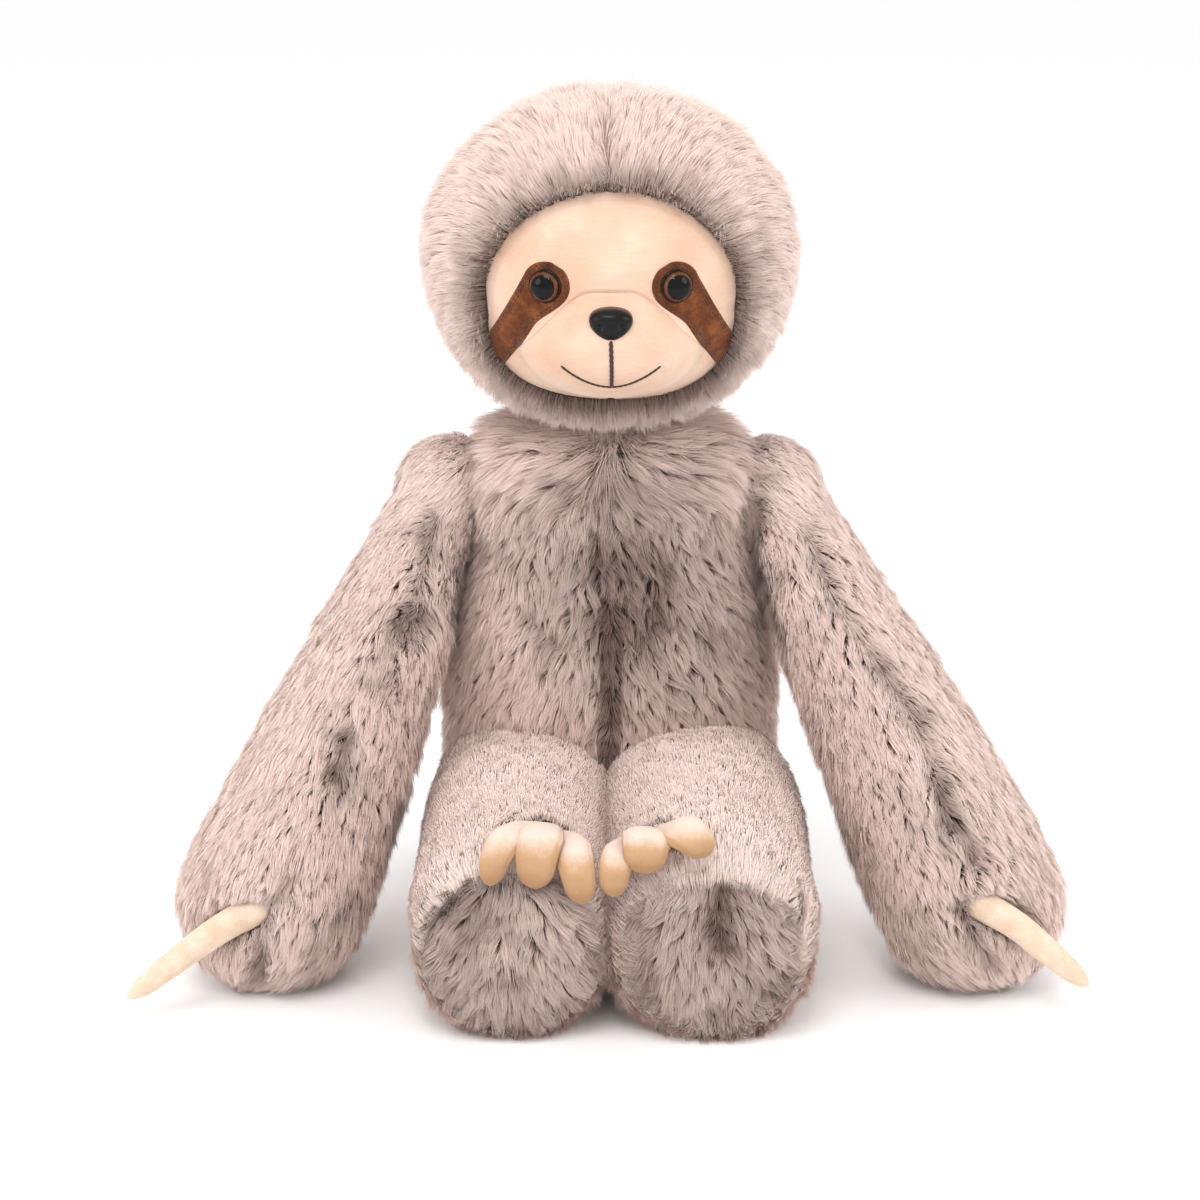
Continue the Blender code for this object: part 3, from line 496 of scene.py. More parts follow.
def near_paths(points, paths):
    """How strongly paths act at points, 0 to 1, and the direction away from them."""
    strength = np.zeros(len(points))
    away = np.zeros_like(points)
    for path, width, force in paths:
        best = np.full(len(points), np.inf)
        offset = np.zeros_like(points)
        for start, end in zip(path, path[1:]):
            step = end - start
            share = np.clip((points - start) @ step / max(step @ step, 1e-12), 0, 1)
            apart = points - (start + share[:, None] * step)
            distance = (apart ** 2).sum(1)
            nearer = distance < best
            best[nearer] = distance[nearer]
            offset[nearer] = apart[nearer]
        here = force * np.exp(-best / width ** 2)
        stronger = here > strength
        strength[stronger] = here[stronger]
        away[stronger] = offset[stronger]
    return strength, unit(away)


def press_in(skin, paths, depth):
    """The skin drawn in along its seams and puckers, and slightly lumpy as stuffing makes it."""
    flat = skin["points"].reshape(-1, 3)
    strength, _ = near_paths(flat, paths)
    lumps = soft_noise(flat, lump_size)[:, :1] * lump_height
    moved = flat + skin["out"].reshape(-1, 3) * (lumps - depth * strength[:, None])
    moved[:, 2] = np.maximum(moved[:, 2], cloth_above_floor)
    return make_skin(moved.reshape(skin["points"].shape))


# %% Pieces and their meshes
def link_piece(name, mesh, body, material, replaced=()):
    """Puts a finished mesh in the scene, on its body, in place of CAD nodes."""
    mesh.name = name
    item = bpy.data.objects.new(name, mesh)
    bpy.context.scene.collection.objects.link(item)
    for one in material if isinstance(material, list) else [material]:
        mesh.materials.append(one)
    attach(item, body)
    if replaced:
        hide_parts(*replaced)
    print(name, "rides on", body, "with", len(mesh.polygons), "faces")


def solid_mesh(points, faces):
    """A smooth-shaded mesh with its faces turned outwards."""
    mesh = bpy.data.meshes.new("piece")
    mesh.from_pydata(points, [], faces)
    shape = bmesh.new()
    shape.from_mesh(mesh)
    bmesh.ops.recalc_face_normals(shape, faces=shape.faces)
    shape.to_mesh(mesh)
    shape.free()
    mesh.shade_smooth()
    return mesh


def ring_faces(rows, columns, first=0):
    """The faces of a stack of closed rings, counted from the first point, with a cap at each end."""
    index = first + np.arange(rows * columns).reshape(rows, columns)
    after = np.roll(index, -1, axis=1)
    faces = np.stack([index[:-1], after[:-1], after[1:], index[1:]], -1).reshape(-1, 4).tolist()
    return faces + [index[0][::-1].tolist(), index[-1].tolist()]


def ring_mesh(rings):
    """A closed mesh from a stack of rings."""
    return solid_mesh(rings.reshape(-1, 3), ring_faces(*rings.shape[:2]))


# %% [markdown]
# ## The pile
#
# Faux fur is thousands of fine acrylic fibres knitted into a backing. On this toy they are dark
# brown at the root, taupe in the middle and pale pink at the tip, which is called frosting, and
# they cling together in small tufts. A bumpy surface can't give that soft edge, and hair curves
# would be lost from the exported model, so each strand is a real tapered ribbon of two faces.
# Its two texture coordinates hold its tone and the way from root to tip, and the colour is read
# from those, so it stays the same in every view. All strands of a part are made at once with
# numpy arrays, from fixed seeds.


# %% Faux fur material
def faux_fur(name):
    """Acrylic pile: dark roots, frosted tips, a soft sheen and no sharp gloss."""
    material, tree, shader = new_material(name, Roughness=0.85, Sheen_Weight=0.25, Sheen_Roughness=0.45,
                                          Specular_IOR_Level=0.25)
    place = add_node(tree, "ShaderNodeUVMap", {"uv_map": "OFBake"})
    parts = add_node(tree, "ShaderNodeSeparateXYZ", {}, {0: place.outputs["UV"]})
    pale = add_node(tree, "ShaderNodeValToRGB", {}, {0: parts.outputs["Y"]},
                    [(0.0, "#B3948A"), (0.18, "#E4C5B9"), (0.50, "#F6DACE"), (1.0, "#FEECE4")])
    dark = add_node(tree, "ShaderNodeValToRGB", {}, {0: parts.outputs["Y"]},
                    [(0.0, "#2E1F18"), (0.30, "#4C382F"), (0.62, "#77615A"), (1.0, "#A38D84")])
    mixed = add_node(tree, "ShaderNodeMix", {"data_type": "RGBA"},
                     {0: parts.outputs["X"], 6: dark.outputs["Color"], 7: pale.outputs["Color"]})
    tree.links.new(mixed.outputs[2], shader.inputs["Base Color"])
    return material


def fur_backing(name):
    """Knitted backing, dyed brown like the roots; it shows only deep between tufts."""
    material, tree, shader = new_material(name, Roughness=0.95)
    loops = surface_noise(tree, 10 * mm / 9)  # nine knitted loops in a centimetre
    finish_surface(tree, shader, loops, [(0.3, "#3B2921"), (0.7, "#5B453B")], loops, 0.5)
    return material


pile = faux_fur("frosted_faux_fur")
backing = fur_backing("knitted_backing")

# %% Sowing roots
strands_per_square_mm = 3.2


def sow(skin, seed):
    """Roots spread evenly over a skin, with the skin's directions at each."""
    rng = np.random.default_rng(seed)
    grid = skin["points"]
    closed = np.concatenate([grid, grid[:, :1]], axis=1)
    side_a, side_b = closed[1:, :-1] - closed[:-1, :-1], closed[:-1, 1:] - closed[:-1, :-1]
    area = np.linalg.norm(np.cross(side_a, side_b), axis=-1)
    count = int(area.sum() / mm ** 2 * strands_per_square_mm)
    share = (area / area.sum()).ravel()
    cell = rng.choice(share.size, size=count, p=share)
    row, column = np.divmod(cell, grid.shape[1])
    u, v = rng.random((2, count, 1))
    across = (column + 1) % grid.shape[1]
    roots = {}
    for key in ("points", "down", "out"):
        g = skin[key]
        upper = g[row, column] * (1 - v) + g[row, across] * v
        lower = g[row + 1, column] * (1 - v) + g[row + 1, across] * v
        roots[key] = upper * (1 - u) + lower * u
    roots["out"] = unit(roots["out"])
    roots["random"] = rng.random((count, 4))
    return roots


def keep(roots, kept):
    """The chosen ones of some roots."""
    return {key: value[kept] for key, value in roots.items()}


# %% Ribbon meshes
# A strand has two points at its root, two at its middle and one at its tip, and two faces: one of
# four corners and one of three.
def ribbon_mesh(name, points, normals, places):
    """A mesh of strands from their points, the normals that shade them and their texture places."""
    count = len(points)
    corners = np.arange(count)[:, None] * 5 + np.array([0, 1, 3, 2, 2, 3, 4])
    starts = np.arange(count)[:, None] * 7 + np.array([0, 4])
    mesh = bpy.data.meshes.new(name)
    mesh.vertices.add(count * 5)
    mesh.vertices.foreach_set("co", points.astype(np.float32).ravel())
    mesh.loops.add(count * 7)
    mesh.loops.foreach_set("vertex_index", corners.ravel().astype(np.int32))
    mesh.polygons.add(count * 2)
    mesh.polygons.foreach_set("loop_start", starts.ravel().astype(np.int32))
    mesh.uv_layers.new(name="OFBake").uv.foreach_set("vector", places.astype(np.float32).ravel())
    mesh.update(calc_edges=True)
    mesh.shade_smooth()
    mesh.normals_split_custom_set_from_vertices(normals.astype(np.float32))
    return mesh


# %% Growing strands
# Chance sets a strand's own length, lean and turn, and the tuft that it stands in adds to the
# first two. Tufts stray a little from the way that the pile is combed, in patches too. The tips of
# a tuft draw together. A frosted strand lies with its flat side up and shows only its pale tip.
tuft_size = 4.5 * mm
patch_of_tufts = 22 * mm
strand_width = 0.27 * mm
strand_middle = 0.52
most_spin = 1.9
root_depth = 0.4 * mm
pile_above_floor = 0.3 * mm
tone_spread = 0.22


def grow(name, roots, flow, length, lean, tone, body, clump, ruffle, frost):
    """One piece of pile: a two-faced ribbon at each root, leaning along the flow, in tufts."""
    place, out, chance = roots["points"], roots["out"], roots["random"]
    tuft, tuft_chance = nearest_tuft(place, tuft_size)
    flow = flow - dot(flow, out) * out
    stray = tuft_chance - dot(tuft_chance, out) * out
    broad = soft_noise(place, patch_of_tufts, 7)
    broad = broad - dot(broad, out) * out
    flow = unit(unit(flow) + ruffle * stray + 0.6 * ruffle * broad)
    size = (length * (0.80 + 0.35 * chance[:, 0]) * (1 + 0.16 * tuft_chance[:, 0]))[:, None]
    tip_lean = (lean * (0.85 + 0.35 * chance[:, 1]) + 0.18 * tuft_chance[:, 1])[:, None]
    middle = place + strand_middle * size * (out * np.cos(0.6 * tip_lean) + flow * np.sin(0.6 * tip_lean))
    tip = place + size * (out * np.cos(tip_lean) + flow * np.sin(tip_lean))
    inwards = place - tuft
    inwards -= dot(inwards, out) * out
    tip = tip - clump * inwards
    middle = middle - 0.30 * clump * inwards
    heading = unit(tip - place)
    side = unit(np.cross(heading, out))
    spin = (chance[:, 2] - 0.5)[:, None] * most_spin * (1 - frost)
    side = side * np.cos(spin) + np.cross(heading, side) * np.sin(spin)
    facing = np.cross(side, heading)
    flip = np.where(dot(facing, out) < 0, -1, 1)
    side, facing = side * flip, facing * flip
    half = side * strand_width / 2
    root = place - out * root_depth
    points = np.stack([root - half, root + half, middle - 0.85 * half, middle + 0.85 * half, tip], 1)
    points[..., 2] = np.maximum(points[..., 2], pile_above_floor)
    # The cloth's own direction has most weight, so that light falls on the pile as on one soft surface
    shade = unit(0.75 * out + 0.45 * unit(facing) + 0.25 * heading)
    normals = np.repeat(shade[:, None], 5, 1).reshape(-1, 3)
    tone = np.clip(tone + tone_spread * (chance[:, 3] - 0.5), 0.02, 0.98)[:, None]
    u = tone + 0.008 * np.array([-1, 1, 1, -1, -1, 1, 0])
    v = frost + (1 - frost) * np.array([0.01, 0.01] + 4 * [strand_middle] + [0.99])
    link_piece(name, ribbon_mesh(name, points, normals, np.stack([u, v], -1)), body, pile)


# %% Dressing a part with pile
# Tone is the share of pale fibre. It wanders in patches of two sizes, and where the pile parts
# at a path it is shorter, leans away on both sides and shows its dark roots.
most_strands = 64000
pile_length = 11.5 * mm
patch_size, small_patch_size = 16 * mm, 7 * mm


def grow_pile(name, roots, paths, flow, body, base_tone, length=pile_length, lean=0.95, clump=0.28,
              ruffle=0.26, mottling=0.10, frost=0.0):
    """Grows pile on roots, in pieces of a size that a viewer can carry."""
    place = roots["points"]
    strength, away = near_paths(place, paths)
    mottle = soft_noise(place, patch_size, 3)[:, 0] + 0.6 * soft_noise(place, small_patch_size, 5)[:, 0]
    tone = base_tone + mottling * (mottle - 1.6 * np.clip(-mottle - 0.35, 0, 1)) - 0.72 * strength
    flow = unit(flow) + 1.8 * strength[:, None] * away
    size = length * (1 - 0.25 * np.minimum(strength, 1))
    lean = np.broadcast_to(lean, len(place))
    clump, ruffle, frost = (np.broadcast_to(np.reshape(v, (-1, 1)), (len(place), 1))
                            for v in (clump, ruffle, frost))
    pieces = np.array_split(np.argsort(place[:, 2]), math.ceil(len(place) / most_strands))
    for i, part in enumerate(pieces, 1):
        piece = name if len(pieces) == 1 else f"{name}_{i}"
        grow(piece, keep(roots, part), flow[part], size[part], lean[part], tone[part], body, clump[part],
             ruffle[part], frost[part])


def dress(parts, roots, paths, flow, body, tone, **looks):
    """Grows the pile of named parts of some roots. A look is one number, or one for each root."""
    for name, part in parts.items():
        chosen = {key: value[part] if np.ndim(value) else value for key, value in looks.items()}
        grow_pile(name, keep(roots, part), paths, flow[part], body, tone[part], **chosen)


# %% [markdown]
# ## Torso
#
# The pile is darkest in the middle of the chest: taupe with brown showing through. A sewn seam
# runs down the middle of the belly between the thighs, and the pile parts along it. Under the
# chin it is combed out to both sides, longer and paler.


# %% Torso backing
torso_skin = make_skin(torso_points())
belly_seam = on_skin(torso_skin, [(604, 470), (603, 540), (604, 600), (606, 660), (607, 720), (608, 790)])
back_seam = on_skin(torso_skin, [(600, 470), (600, 600), (600, 720), (600, 850)], rear=True)
torso_paths = [
    (belly_seam[:3], 5 * mm, 0.12),
    (belly_seam[2:], 6 * mm, 1.0),
    (back_seam, 5 * mm, 0.6),
    *drawn_paths(torso_skin, [([(528, 609), (548, 625), (559, 640)], 5, 0.55),
                              ([(640, 645), (652, 600), (662, 560)], 5, 0.35)]),
]
torso_skin = press_in(torso_skin, torso_paths, 3.5 * mm)
link_piece("torso_backing", ring_mesh(torso_skin["points"]), "torso", backing,
           ["torso_cover", "torso_fill"])

# %% Torso pile
torso_roots = sow(torso_skin, 11)
p = torso_roots["points"]
hidden = in_head(p, -4 * mm)
for side, _ in sides:
    hidden |= in_leg(p, side, -9 * mm) | in_arm(p, side, -9 * mm)
torso_roots = keep(torso_roots, ~hidden)
x, y, z = torso_roots["points"].T
# On the front it is darker in the middle of the chest, and a little darker low on the right
frontness = np.clip(-torso_roots["out"][:, 1], 0, 1)
chest = hump(x - 8 * mm, 42 * mm) * hump(z - 180 * mm, 48 * mm)
lower_right = hump(x - 50 * mm, 30 * mm) * hump(z - 120 * mm, 35 * mm)
torso_tone = 0.88 - frontness * (0.76 * chest + 0.16 * lower_right + 0.02)
# Towards the neck it is combed to both sides and grows longer
top = rise(z, 205 * mm, 25 * mm)
sideways = np.tanh(x / (18 * mm)) * (0.25 + 2.2 * top)
torso_flow = torso_roots["down"] + sideways[:, None] * np.array((1, 0, 0))
torso_length = (11.5 + 8.0 * top) * mm
torso_parts = {"torso_pile_front_left": (y < 0) & (x < 0), "torso_pile_front_right": (y < 0) & (x >= 0),
               "torso_pile_back_left": (y >= 0) & (x < 0), "torso_pile_back_right": (y >= 0) & (x >= 0)}
dress(torso_parts, torso_roots, torso_paths, torso_flow, "torso", torso_tone, length=torso_length,
      clump=0.34, ruffle=0.48, mottling=0.18)

# %% [markdown]
# ## Head
#
# The hood is one fur ball with an opening for the face. Its pile lies away from the face, and
# stands up along the opening, where the dark roots make a ring round the velour.

# %% The opening for the face
face_centre_z = 319 * mm
face_half_width = 58.5 * mm
face_half_height = 50.5 * mm
chin_squareness = 2.7


def face_distance(points):
    """Less than one inside the opening for the face, on the front half of the head."""
    across = np.abs(points[..., 0]) / face_half_width
    up = (points[..., 2] - face_centre_z) / face_half_height
    power = np.where(up < 0, chin_squareness, 2.0)
    value = (across ** power + np.abs(up) ** power) ** (1 / power)
    return np.where(points[..., 1] < -20 * mm, value, 9.0)


# %% Hood backing
head_skin = make_skin(head_centre + ball(90, 0.02) * head_half)
crown_seam = on_skin(head_skin, [(607, 95), (607, 140), (612, 185)])
head_paths = [(crown_seam, 6 * mm, 0.2)]
head_skin = press_in(head_skin, head_paths, 1.5 * mm)
sunk = head_skin["points"].copy()
inside_face = np.clip((1.02 - face_distance(sunk)) * 12, 0, 1)[..., None]
sunk += inside_face * (head_centre - sunk) * 0.10
link_piece("hood_backing", ring_mesh(sunk), "head", backing, ["head_cover", "head_fill"])

# %% Hood pile
head_roots = sow(head_skin, 12)
p = head_roots["points"]
head_roots = keep(head_roots, (face_distance(p) > 1.0) & ~in_torso(p, -6 * mm))
p = head_roots["points"]
opening = face_distance(p)
# Round the opening runs a dark ring, uneven in streaks and up to 20 mm wide, and nearly a third of
# its strands lie in over the velour. From 62 mm in front of the middle to 12 mm in front of it, the
# pile turns from lying away from the face to hanging down the back.
from_face = p - np.array((0, -70 * mm, face_centre_z))
streak = soft_noise(p * np.array((1, 0.5, 1)), 5 * mm, 9)[:, 0]
edge = np.clip(1 - (opening - 1) * face_half_height / ((11 + 9 * streak) * mm), 0, 1)
edge = np.where(opening > 5, 0, edge)
head_tone = 0.91 - 0.55 * edge - 0.10 * rise(-p[:, 2], -290 * mm, 40 * mm)
head_lean = 0.80 - 0.30 * edge
inward = edge * (head_roots["random"][:, 1] < 0.30)
rearness = rise(p[:, 1], -62 * mm, 50 * mm)[:, None]
head_flow = unit(from_face) * (1 - 2 * inward)[:, None] * (1 - rearness) + np.array((0, 0.7, -1)) * rearness
front, back = p[:, 1] < -30 * mm, p[:, 1] >= 20 * mm
head_parts = {"hood_pile_front": front, "hood_pile_middle": ~front & ~back, "hood_pile_back": back}
dress(head_parts, head_roots, head_paths, head_flow, "head", head_tone, lean=head_lean, clump=0.22,
      ruffle=0.22, mottling=0.06)

# %% [markdown]
# ## Face panels
#
# The face is two panels of cream velour, a short dense pile that feels like a peach. They meet in
# a seam under the eyes, which shows only over the bridge of the nose, and the lower one is stuffed
# into a broad muzzle. Both come from one function of the place on the face, so that everything
# sewn on later can sit on the same surface. A fine nap and faint threads are all the detail that
# such cloth shows; the valley between head and muzzle gives the rest.

# %% The surface of the face
muzzle_centre = np.array((0, -58, 300)) * mm
muzzle_half = np.array((44, 34, 28.5)) * mm
seam_shares = np.array([(0, 0.13), (0.22, 0.11), (0.36, 0), (0.62, -0.30), (1.2, -1.0)])
muzzle_valley = 6 * mm
cloth = 2 * mm
panel_overlap = 1.5 * mm


def seam_height(x):
    """Height of the seam between the two panels."""
    return face_centre_z + face_half_height * smooth_curve(np.abs(x) / face_half_width, *seam_shares.T)


def muzzle_front(x, z):
    """The muzzle's dome, with a skirt that runs back into the head round it."""
    reach = (x / muzzle_half[0]) ** 2 + ((z - muzzle_centre[2]) / muzzle_half[2]) ** 2
    dome = muzzle_centre[1] - muzzle_half[1] * np.sqrt(np.maximum(1 - reach, 0))
    return np.where(reach < 1, dome, muzzle_centre[1] + 60 * mm * (reach - 1))


def face_front(x, z):
    """Depth of the face: the nearer of head and muzzle, with a soft valley where they meet."""
    inside = 1 - (x / head_half[0]) ** 2 - ((z - head_centre[2]) / head_half[2]) ** 2
    skull = head_centre[1] - head_half[1] * np.sqrt(np.maximum(inside, 0))
    muzzle = muzzle_front(x, z)
    cheeks = hump(np.abs(x) - 33 * mm, 15 * mm) * hump(z - 290 * mm, 15 * mm)
    share = np.clip(0.5 + (muzzle - skull) / (2 * muzzle_valley), 0, 1)
    valley = muzzle_valley * share * (1 - share)
    return muzzle * (1 - share) + skull * share - valley - 2.5 * mm * cheeks


# %% Cutting the two panels
def panel_points(low, high, columns=150, rows=80, reach=0.998):
    """Rows of points between two heights over the face, with seam, rim and slight wrinkles."""
    x = (face_half_width + panel_overlap) * reach * np.sin(np.linspace(-math.pi / 2, math.pi / 2, columns))
    share = np.linspace(0, 1, rows)[:, None]
    z = low(x) * (1 - share) + high(x) * share
    x = np.broadcast_to(x, z.shape)
    points = np.stack([x, face_front(x, z), z], -1)
    groove = hump(z - seam_height(x), 1.0 * mm)
    rim = np.clip((face_distance(points) - 0.93) * 12, 0, 1)
    dart = hump(x, 1.6 * mm) * rise(-z, -278 * mm, 8 * mm)
    wrinkles = soft_noise(points * np.array((1, 1, 2.2)), 14 * mm, 21)[..., 0]
    points[..., 1] += 0.9 * mm * groove + 1.6 * mm * rim + 1.2 * mm * dart + 0.25 * mm * wrinkles
    return points


def shell_mesh(front, thickness=cloth):
    """A closed panel: its front, its back and the edge between them."""
    rows, columns = front.shape[:2]
    points = np.concatenate([front.reshape(-1, 3), (front + (0, thickness, 0)).reshape(-1, 3)])
    index = np.arange(rows * columns).reshape(rows, columns)
    front_faces = np.stack([index[:-1, :-1], index[:-1, 1:], index[1:, 1:], index[1:, :-1]], -1).reshape(-1, 4)
    rim = np.concatenate([index[0, :-1], index[:-1, -1], index[-1, :0:-1], index[:0:-1, 0]])
    after = np.roll(rim, -1)
    size = rows * columns
    edge = np.stack([rim, after, after + size, rim + size], -1)
    faces = np.concatenate([front_faces, front_faces[:, ::-1] + size, edge])
    return solid_mesh(points, faces.tolist())


def brow_line(x):
    """Height of the face's upper rim."""
    across = np.abs(x) / (face_half_width + panel_overlap)
    return face_centre_z + (face_half_height + panel_overlap) * np.sqrt(np.maximum(1 - across ** 2, 0))


def chin_line(x):
    """Height of the face's lower rim, which is squarer."""
    across = np.abs(x) / (face_half_width + panel_overlap)
    drop = np.maximum(1 - across ** chin_squareness, 0) ** (1 / chin_squareness)
    return face_centre_z - (face_half_height + panel_overlap) * drop


forehead = panel_points(lambda x: np.maximum(seam_height(x), chin_line(x)), brow_line)
muzzle = panel_points(chin_line, lambda x: np.maximum(seam_height(x), chin_line(x) + 0.2 * mm), reach=0.93)
print("face stands out to", round(float(muzzle[..., 1].min()) * 1000, 1), "mm")

# %% Velour and suede
def velour(name):
    """Velour of polyester: a soft pale glow at glancing angles, a fine nap and faint threads."""
    material, tree, shader = new_material(name, Roughness=0.9, Sheen_Weight=0.35, Sheen_Roughness=0.5,
                                          Specular_IOR_Level=0.2)
    blotches = surface_noise(tree, 25 * mm)
    threads = surface_noise(tree, 10 * mm / 9, stretch=(0.10, 1, 1))  # nine in a centimetre, ten times as long
    nap = surface_noise(tree, 0.625 * mm, 3, 0.6)
    tint = add_node(tree, "ShaderNodeMath", {"operation": "MULTIPLY_ADD", 1: 0.35}, {0: threads, 2: blotches})
    height = add_node(tree, "ShaderNodeMath", {"operation": "MULTIPLY_ADD", 1: 0.6}, {0: threads, 2: nap})
    stops = [(0.40, "#D6AE93"), (0.72, "#E0BEA6"), (1.0, "#E9CDB9")]
    finish_surface(tree, shader, tint.outputs[0], stops, height.outputs[0], 0.35, 0.25 * mm)
    return material


def suede(name, colours, nap_size, places=(0.55, 0.80, 1.0), tan_underside_and_painted_top_light=0.0):
    """Brushed suede cloth: a short nap that takes the light in soft patches, quite without gloss.
    With painted top light it is palest where it faces up, and darker on the fronts as painted shade."""
    material, tree, shader = new_material(name, Roughness=0.92, Sheen_Weight=0.2, Sheen_Roughness=0.4,
                                          Specular_IOR_Level=0.2)
    patches = surface_noise(tree, 100 * mm / 11, 3, 0.6)  # eleven brushed patches in ten centimetres
    nap = surface_noise(tree, nap_size, 3, 0.65)
    tint = add_node(tree, "ShaderNodeMath", {"operation": "MULTIPLY_ADD", 1: 0.6}, {0: nap, 2: patches})
    # Painted light and shade: faces that point up are made paler and the fronts darker, as light from above
    # would make them
    if tan_underside_and_painted_top_light:
        facing = add_node(tree, "ShaderNodeTexCoord").outputs["Normal"]
        upright = add_node(tree, "ShaderNodeSeparateXYZ", {}, {"Vector": facing}).outputs["Z"]
        faint = add_node(tree, "ShaderNodeMath", {"operation": "MULTIPLY", 1: 0.35}, {0: tint.outputs[0]})
        tint = add_node(tree, "ShaderNodeMath", {"operation": "MULTIPLY_ADD", 1: tan_underside_and_painted_top_light},
                        {0: upright, 2: faint.outputs[0]})
    finish_surface(tree, shader, tint.outputs[0], list(zip(places, colours)), nap, 0.5)
    return material


cream_velour = velour("cream_velour")
brown_suede = suede("brown_suede", ("#4A2614", "#6B3A20", "#8A522F"), 0.7 * mm)
link_piece("forehead_velour", shell_mesh(forehead), "head", cream_velour, ["forehead_panel"])
link_piece("muzzle_velour", shell_mesh(muzzle), "head", cream_velour, ["muzzle_panel"])

# %% [markdown]
# ## Eye patches
#
# Two tear-shaped pieces of brown suede cloth lie over the velour, with the eye in the round end
# and the tail running out under the hood. Each is held by two rows of dark topstitching. The
# outline is drawn as an upper and a lower edge along the patch, and the patch is filled between
# them, raised a little and rolled down at its edge. Real stitches are laid over it as short
# threads, because a painted line would not catch the light.

# %% Patch outline and cloth
eye_place = {-1: np.array((-30.0, 328.0)), 1: np.array((30.0, 328.0))}
patch_radius = 11.2
patch_start = np.array((-36.2, 336.7))
patch_heading = np.array((-23.1, -39.5)) / math.hypot(23.1, 39.5)
patch_length = 60.0
patch_rise = 1.2 * mm
eye_along, eye_across = 4.4, 9.75
stitch_insets = (1.2, 2.4)


def patch_edges(along):
    """Upper and lower edge of the patch, in millimetres across, at places along it.
    The lower edge runs off the round end in a soft corner, and both draw together in the tail."""
    round_part = np.sqrt(np.maximum(patch_radius ** 2 - (along - eye_along) ** 2, 0))
    upper, lower = eye_across - round_part, eye_across + round_part
    share = np.clip((along - eye_along) / (patch_length - eye_along), 0, 1)
    tail_upper = eye_across - patch_radius + 1.6 * share ** 0.7
    narrowing = np.clip((along - eye_along) / 20, 0, 1)
    fillet = 21.0 - 6.0 * narrowing ** 2 * (3 - 2 * narrowing) - 1.2 * share
    return np.where(along < eye_along, upper, tail_upper), \
        np.where(along < eye_along, lower, np.where(along < 9.4, np.maximum(lower, fillet), fillet))


def on_patch(side, along, across, height=0.0):
    """A place of the patch, in millimetres along and across, as a point on the face."""
    normal = np.array((-patch_heading[1], patch_heading[0]))
    flat = patch_start + along[..., None] * patch_heading + across[..., None] * normal
    x, z = -side * flat[..., 0] * mm, flat[..., 1] * mm
    return np.stack([x, face_front(x, z) - height, z], -1)


def patch_points(side):
    """The cloth of a patch: raised, rolled down at its edge and pulled in under the stitches."""
    first, last = eye_along - patch_radius, patch_length
    share = (1 - np.cos(np.linspace(0.06, 1.0, 90) * math.pi / 2)) ** 0.9
    along = first + (last - first) * share
    upper, lower = patch_edges(along)
    across = upper + (lower - upper) * (0.5 - 0.5 * np.cos(np.linspace(0, math.pi, 41)))[:, None]
    along = np.broadcast_to(along, across.shape)
    to_edge = np.minimum(across - upper, lower - across)
    to_round = patch_radius - np.hypot(along - eye_along, across - eye_across)
    inner = np.where(along < eye_along, to_round, to_edge)
    height = patch_rise * np.sqrt(np.clip(inner / 0.9, 0, 1)) - 0.3 * mm
    for inset in stitch_insets:
        height -= 0.28 * mm * hump(inner - inset, 0.3)
    return on_patch(side, along, across, height)


# %% Threads and stitches
def distance_along(path):
    """How far each point of a path is from its start, along it."""
    return np.concatenate([[0], np.cumsum(np.linalg.norm(np.diff(path, axis=0), axis=1))])


def thread_mesh(paths, radius, ring_points=8, twist=0.0):
    """Round threads along paths; a twisted one shows three plies."""
    points, faces = [], []
    for path in paths:
        ahead = unit(np.gradient(path, axis=0))
        beside = unit(np.cross(ahead, (0, 1.0, 0.2)))
        above = np.cross(beside, ahead)
        length = distance_along(path)
        angle = full_turn(ring_points)
        plies = 1 + 0.16 * np.cos(3 * angle - twist * length[:, None]) * (twist > 0)
        ends = np.sqrt(np.clip(np.minimum(length, length[-1] - length) / radius, 0.15, 1))
        size = (radius * ends[:, None] * plies)[..., None]
        around = beside[:, None] * np.cos(angle)[:, None] + above[:, None] * np.sin(angle)[:, None]
        faces += ring_faces(len(path), ring_points, sum(len(ring) for ring in points))
        points.append((path[:, None] + size * around).reshape(-1, 3))
    return solid_mesh(np.concatenate(points), faces)


def stitch_paths(side, inset, stitch=1.7, gap=0.8):
    """Short runs of thread along both edges and round the eye, at an inset from the edge."""
    angle = np.linspace(math.pi, 2 * math.pi, 60)
    radius = patch_radius - inset
    cap = np.stack([eye_along + radius * np.sin(angle), eye_across - radius * np.cos(angle)], -1)
    along = np.linspace(eye_along, patch_length - 3, 120)
    upper, lower = patch_edges(along)
    upper_line = np.stack([along, upper + inset], -1)
    lower_line = np.stack([along, lower - inset], -1)
    line = np.concatenate([upper_line[::-1], cap[::-1], lower_line])
    length = distance_along(line)
    paths = []
    for start in np.arange(0, length[-1] - stitch, stitch + gap):
        places = np.linspace(start, start + stitch, 6)
        a, b = np.interp(places, length, line[:, 0]), np.interp(places, length, line[:, 1])
        lift = patch_rise + (0.15 * np.sin(np.linspace(0, math.pi, 6)) - 0.42) * mm
        paths.append(on_patch(side, a, b, lift))
    return paths


# Polyester thread: fine plies, a little brighter where they catch the light
dark_thread, tree, shader = new_material("dark_brown_thread", Roughness=0.6, Sheen_Weight=0.2)
finish_surface(tree, shader, surface_noise(tree, 0.4 * mm), [(0.3, "#25130C"), (0.7, "#41251A")])
for side, word in sides:
    link_piece(f"{word}_eye_patch_suede", shell_mesh(patch_points(side), 1.4 * mm), "head", brown_suede,
               [f"{word}_eye_patch"])
    paths = [path for inset in stitch_insets for path in stitch_paths(side, inset)]
    link_piece(f"{word}_patch_stitches", thread_mesh(paths, 0.24 * mm), "head", dark_thread)
    print(word, "patch has", len(paths), "stitches")

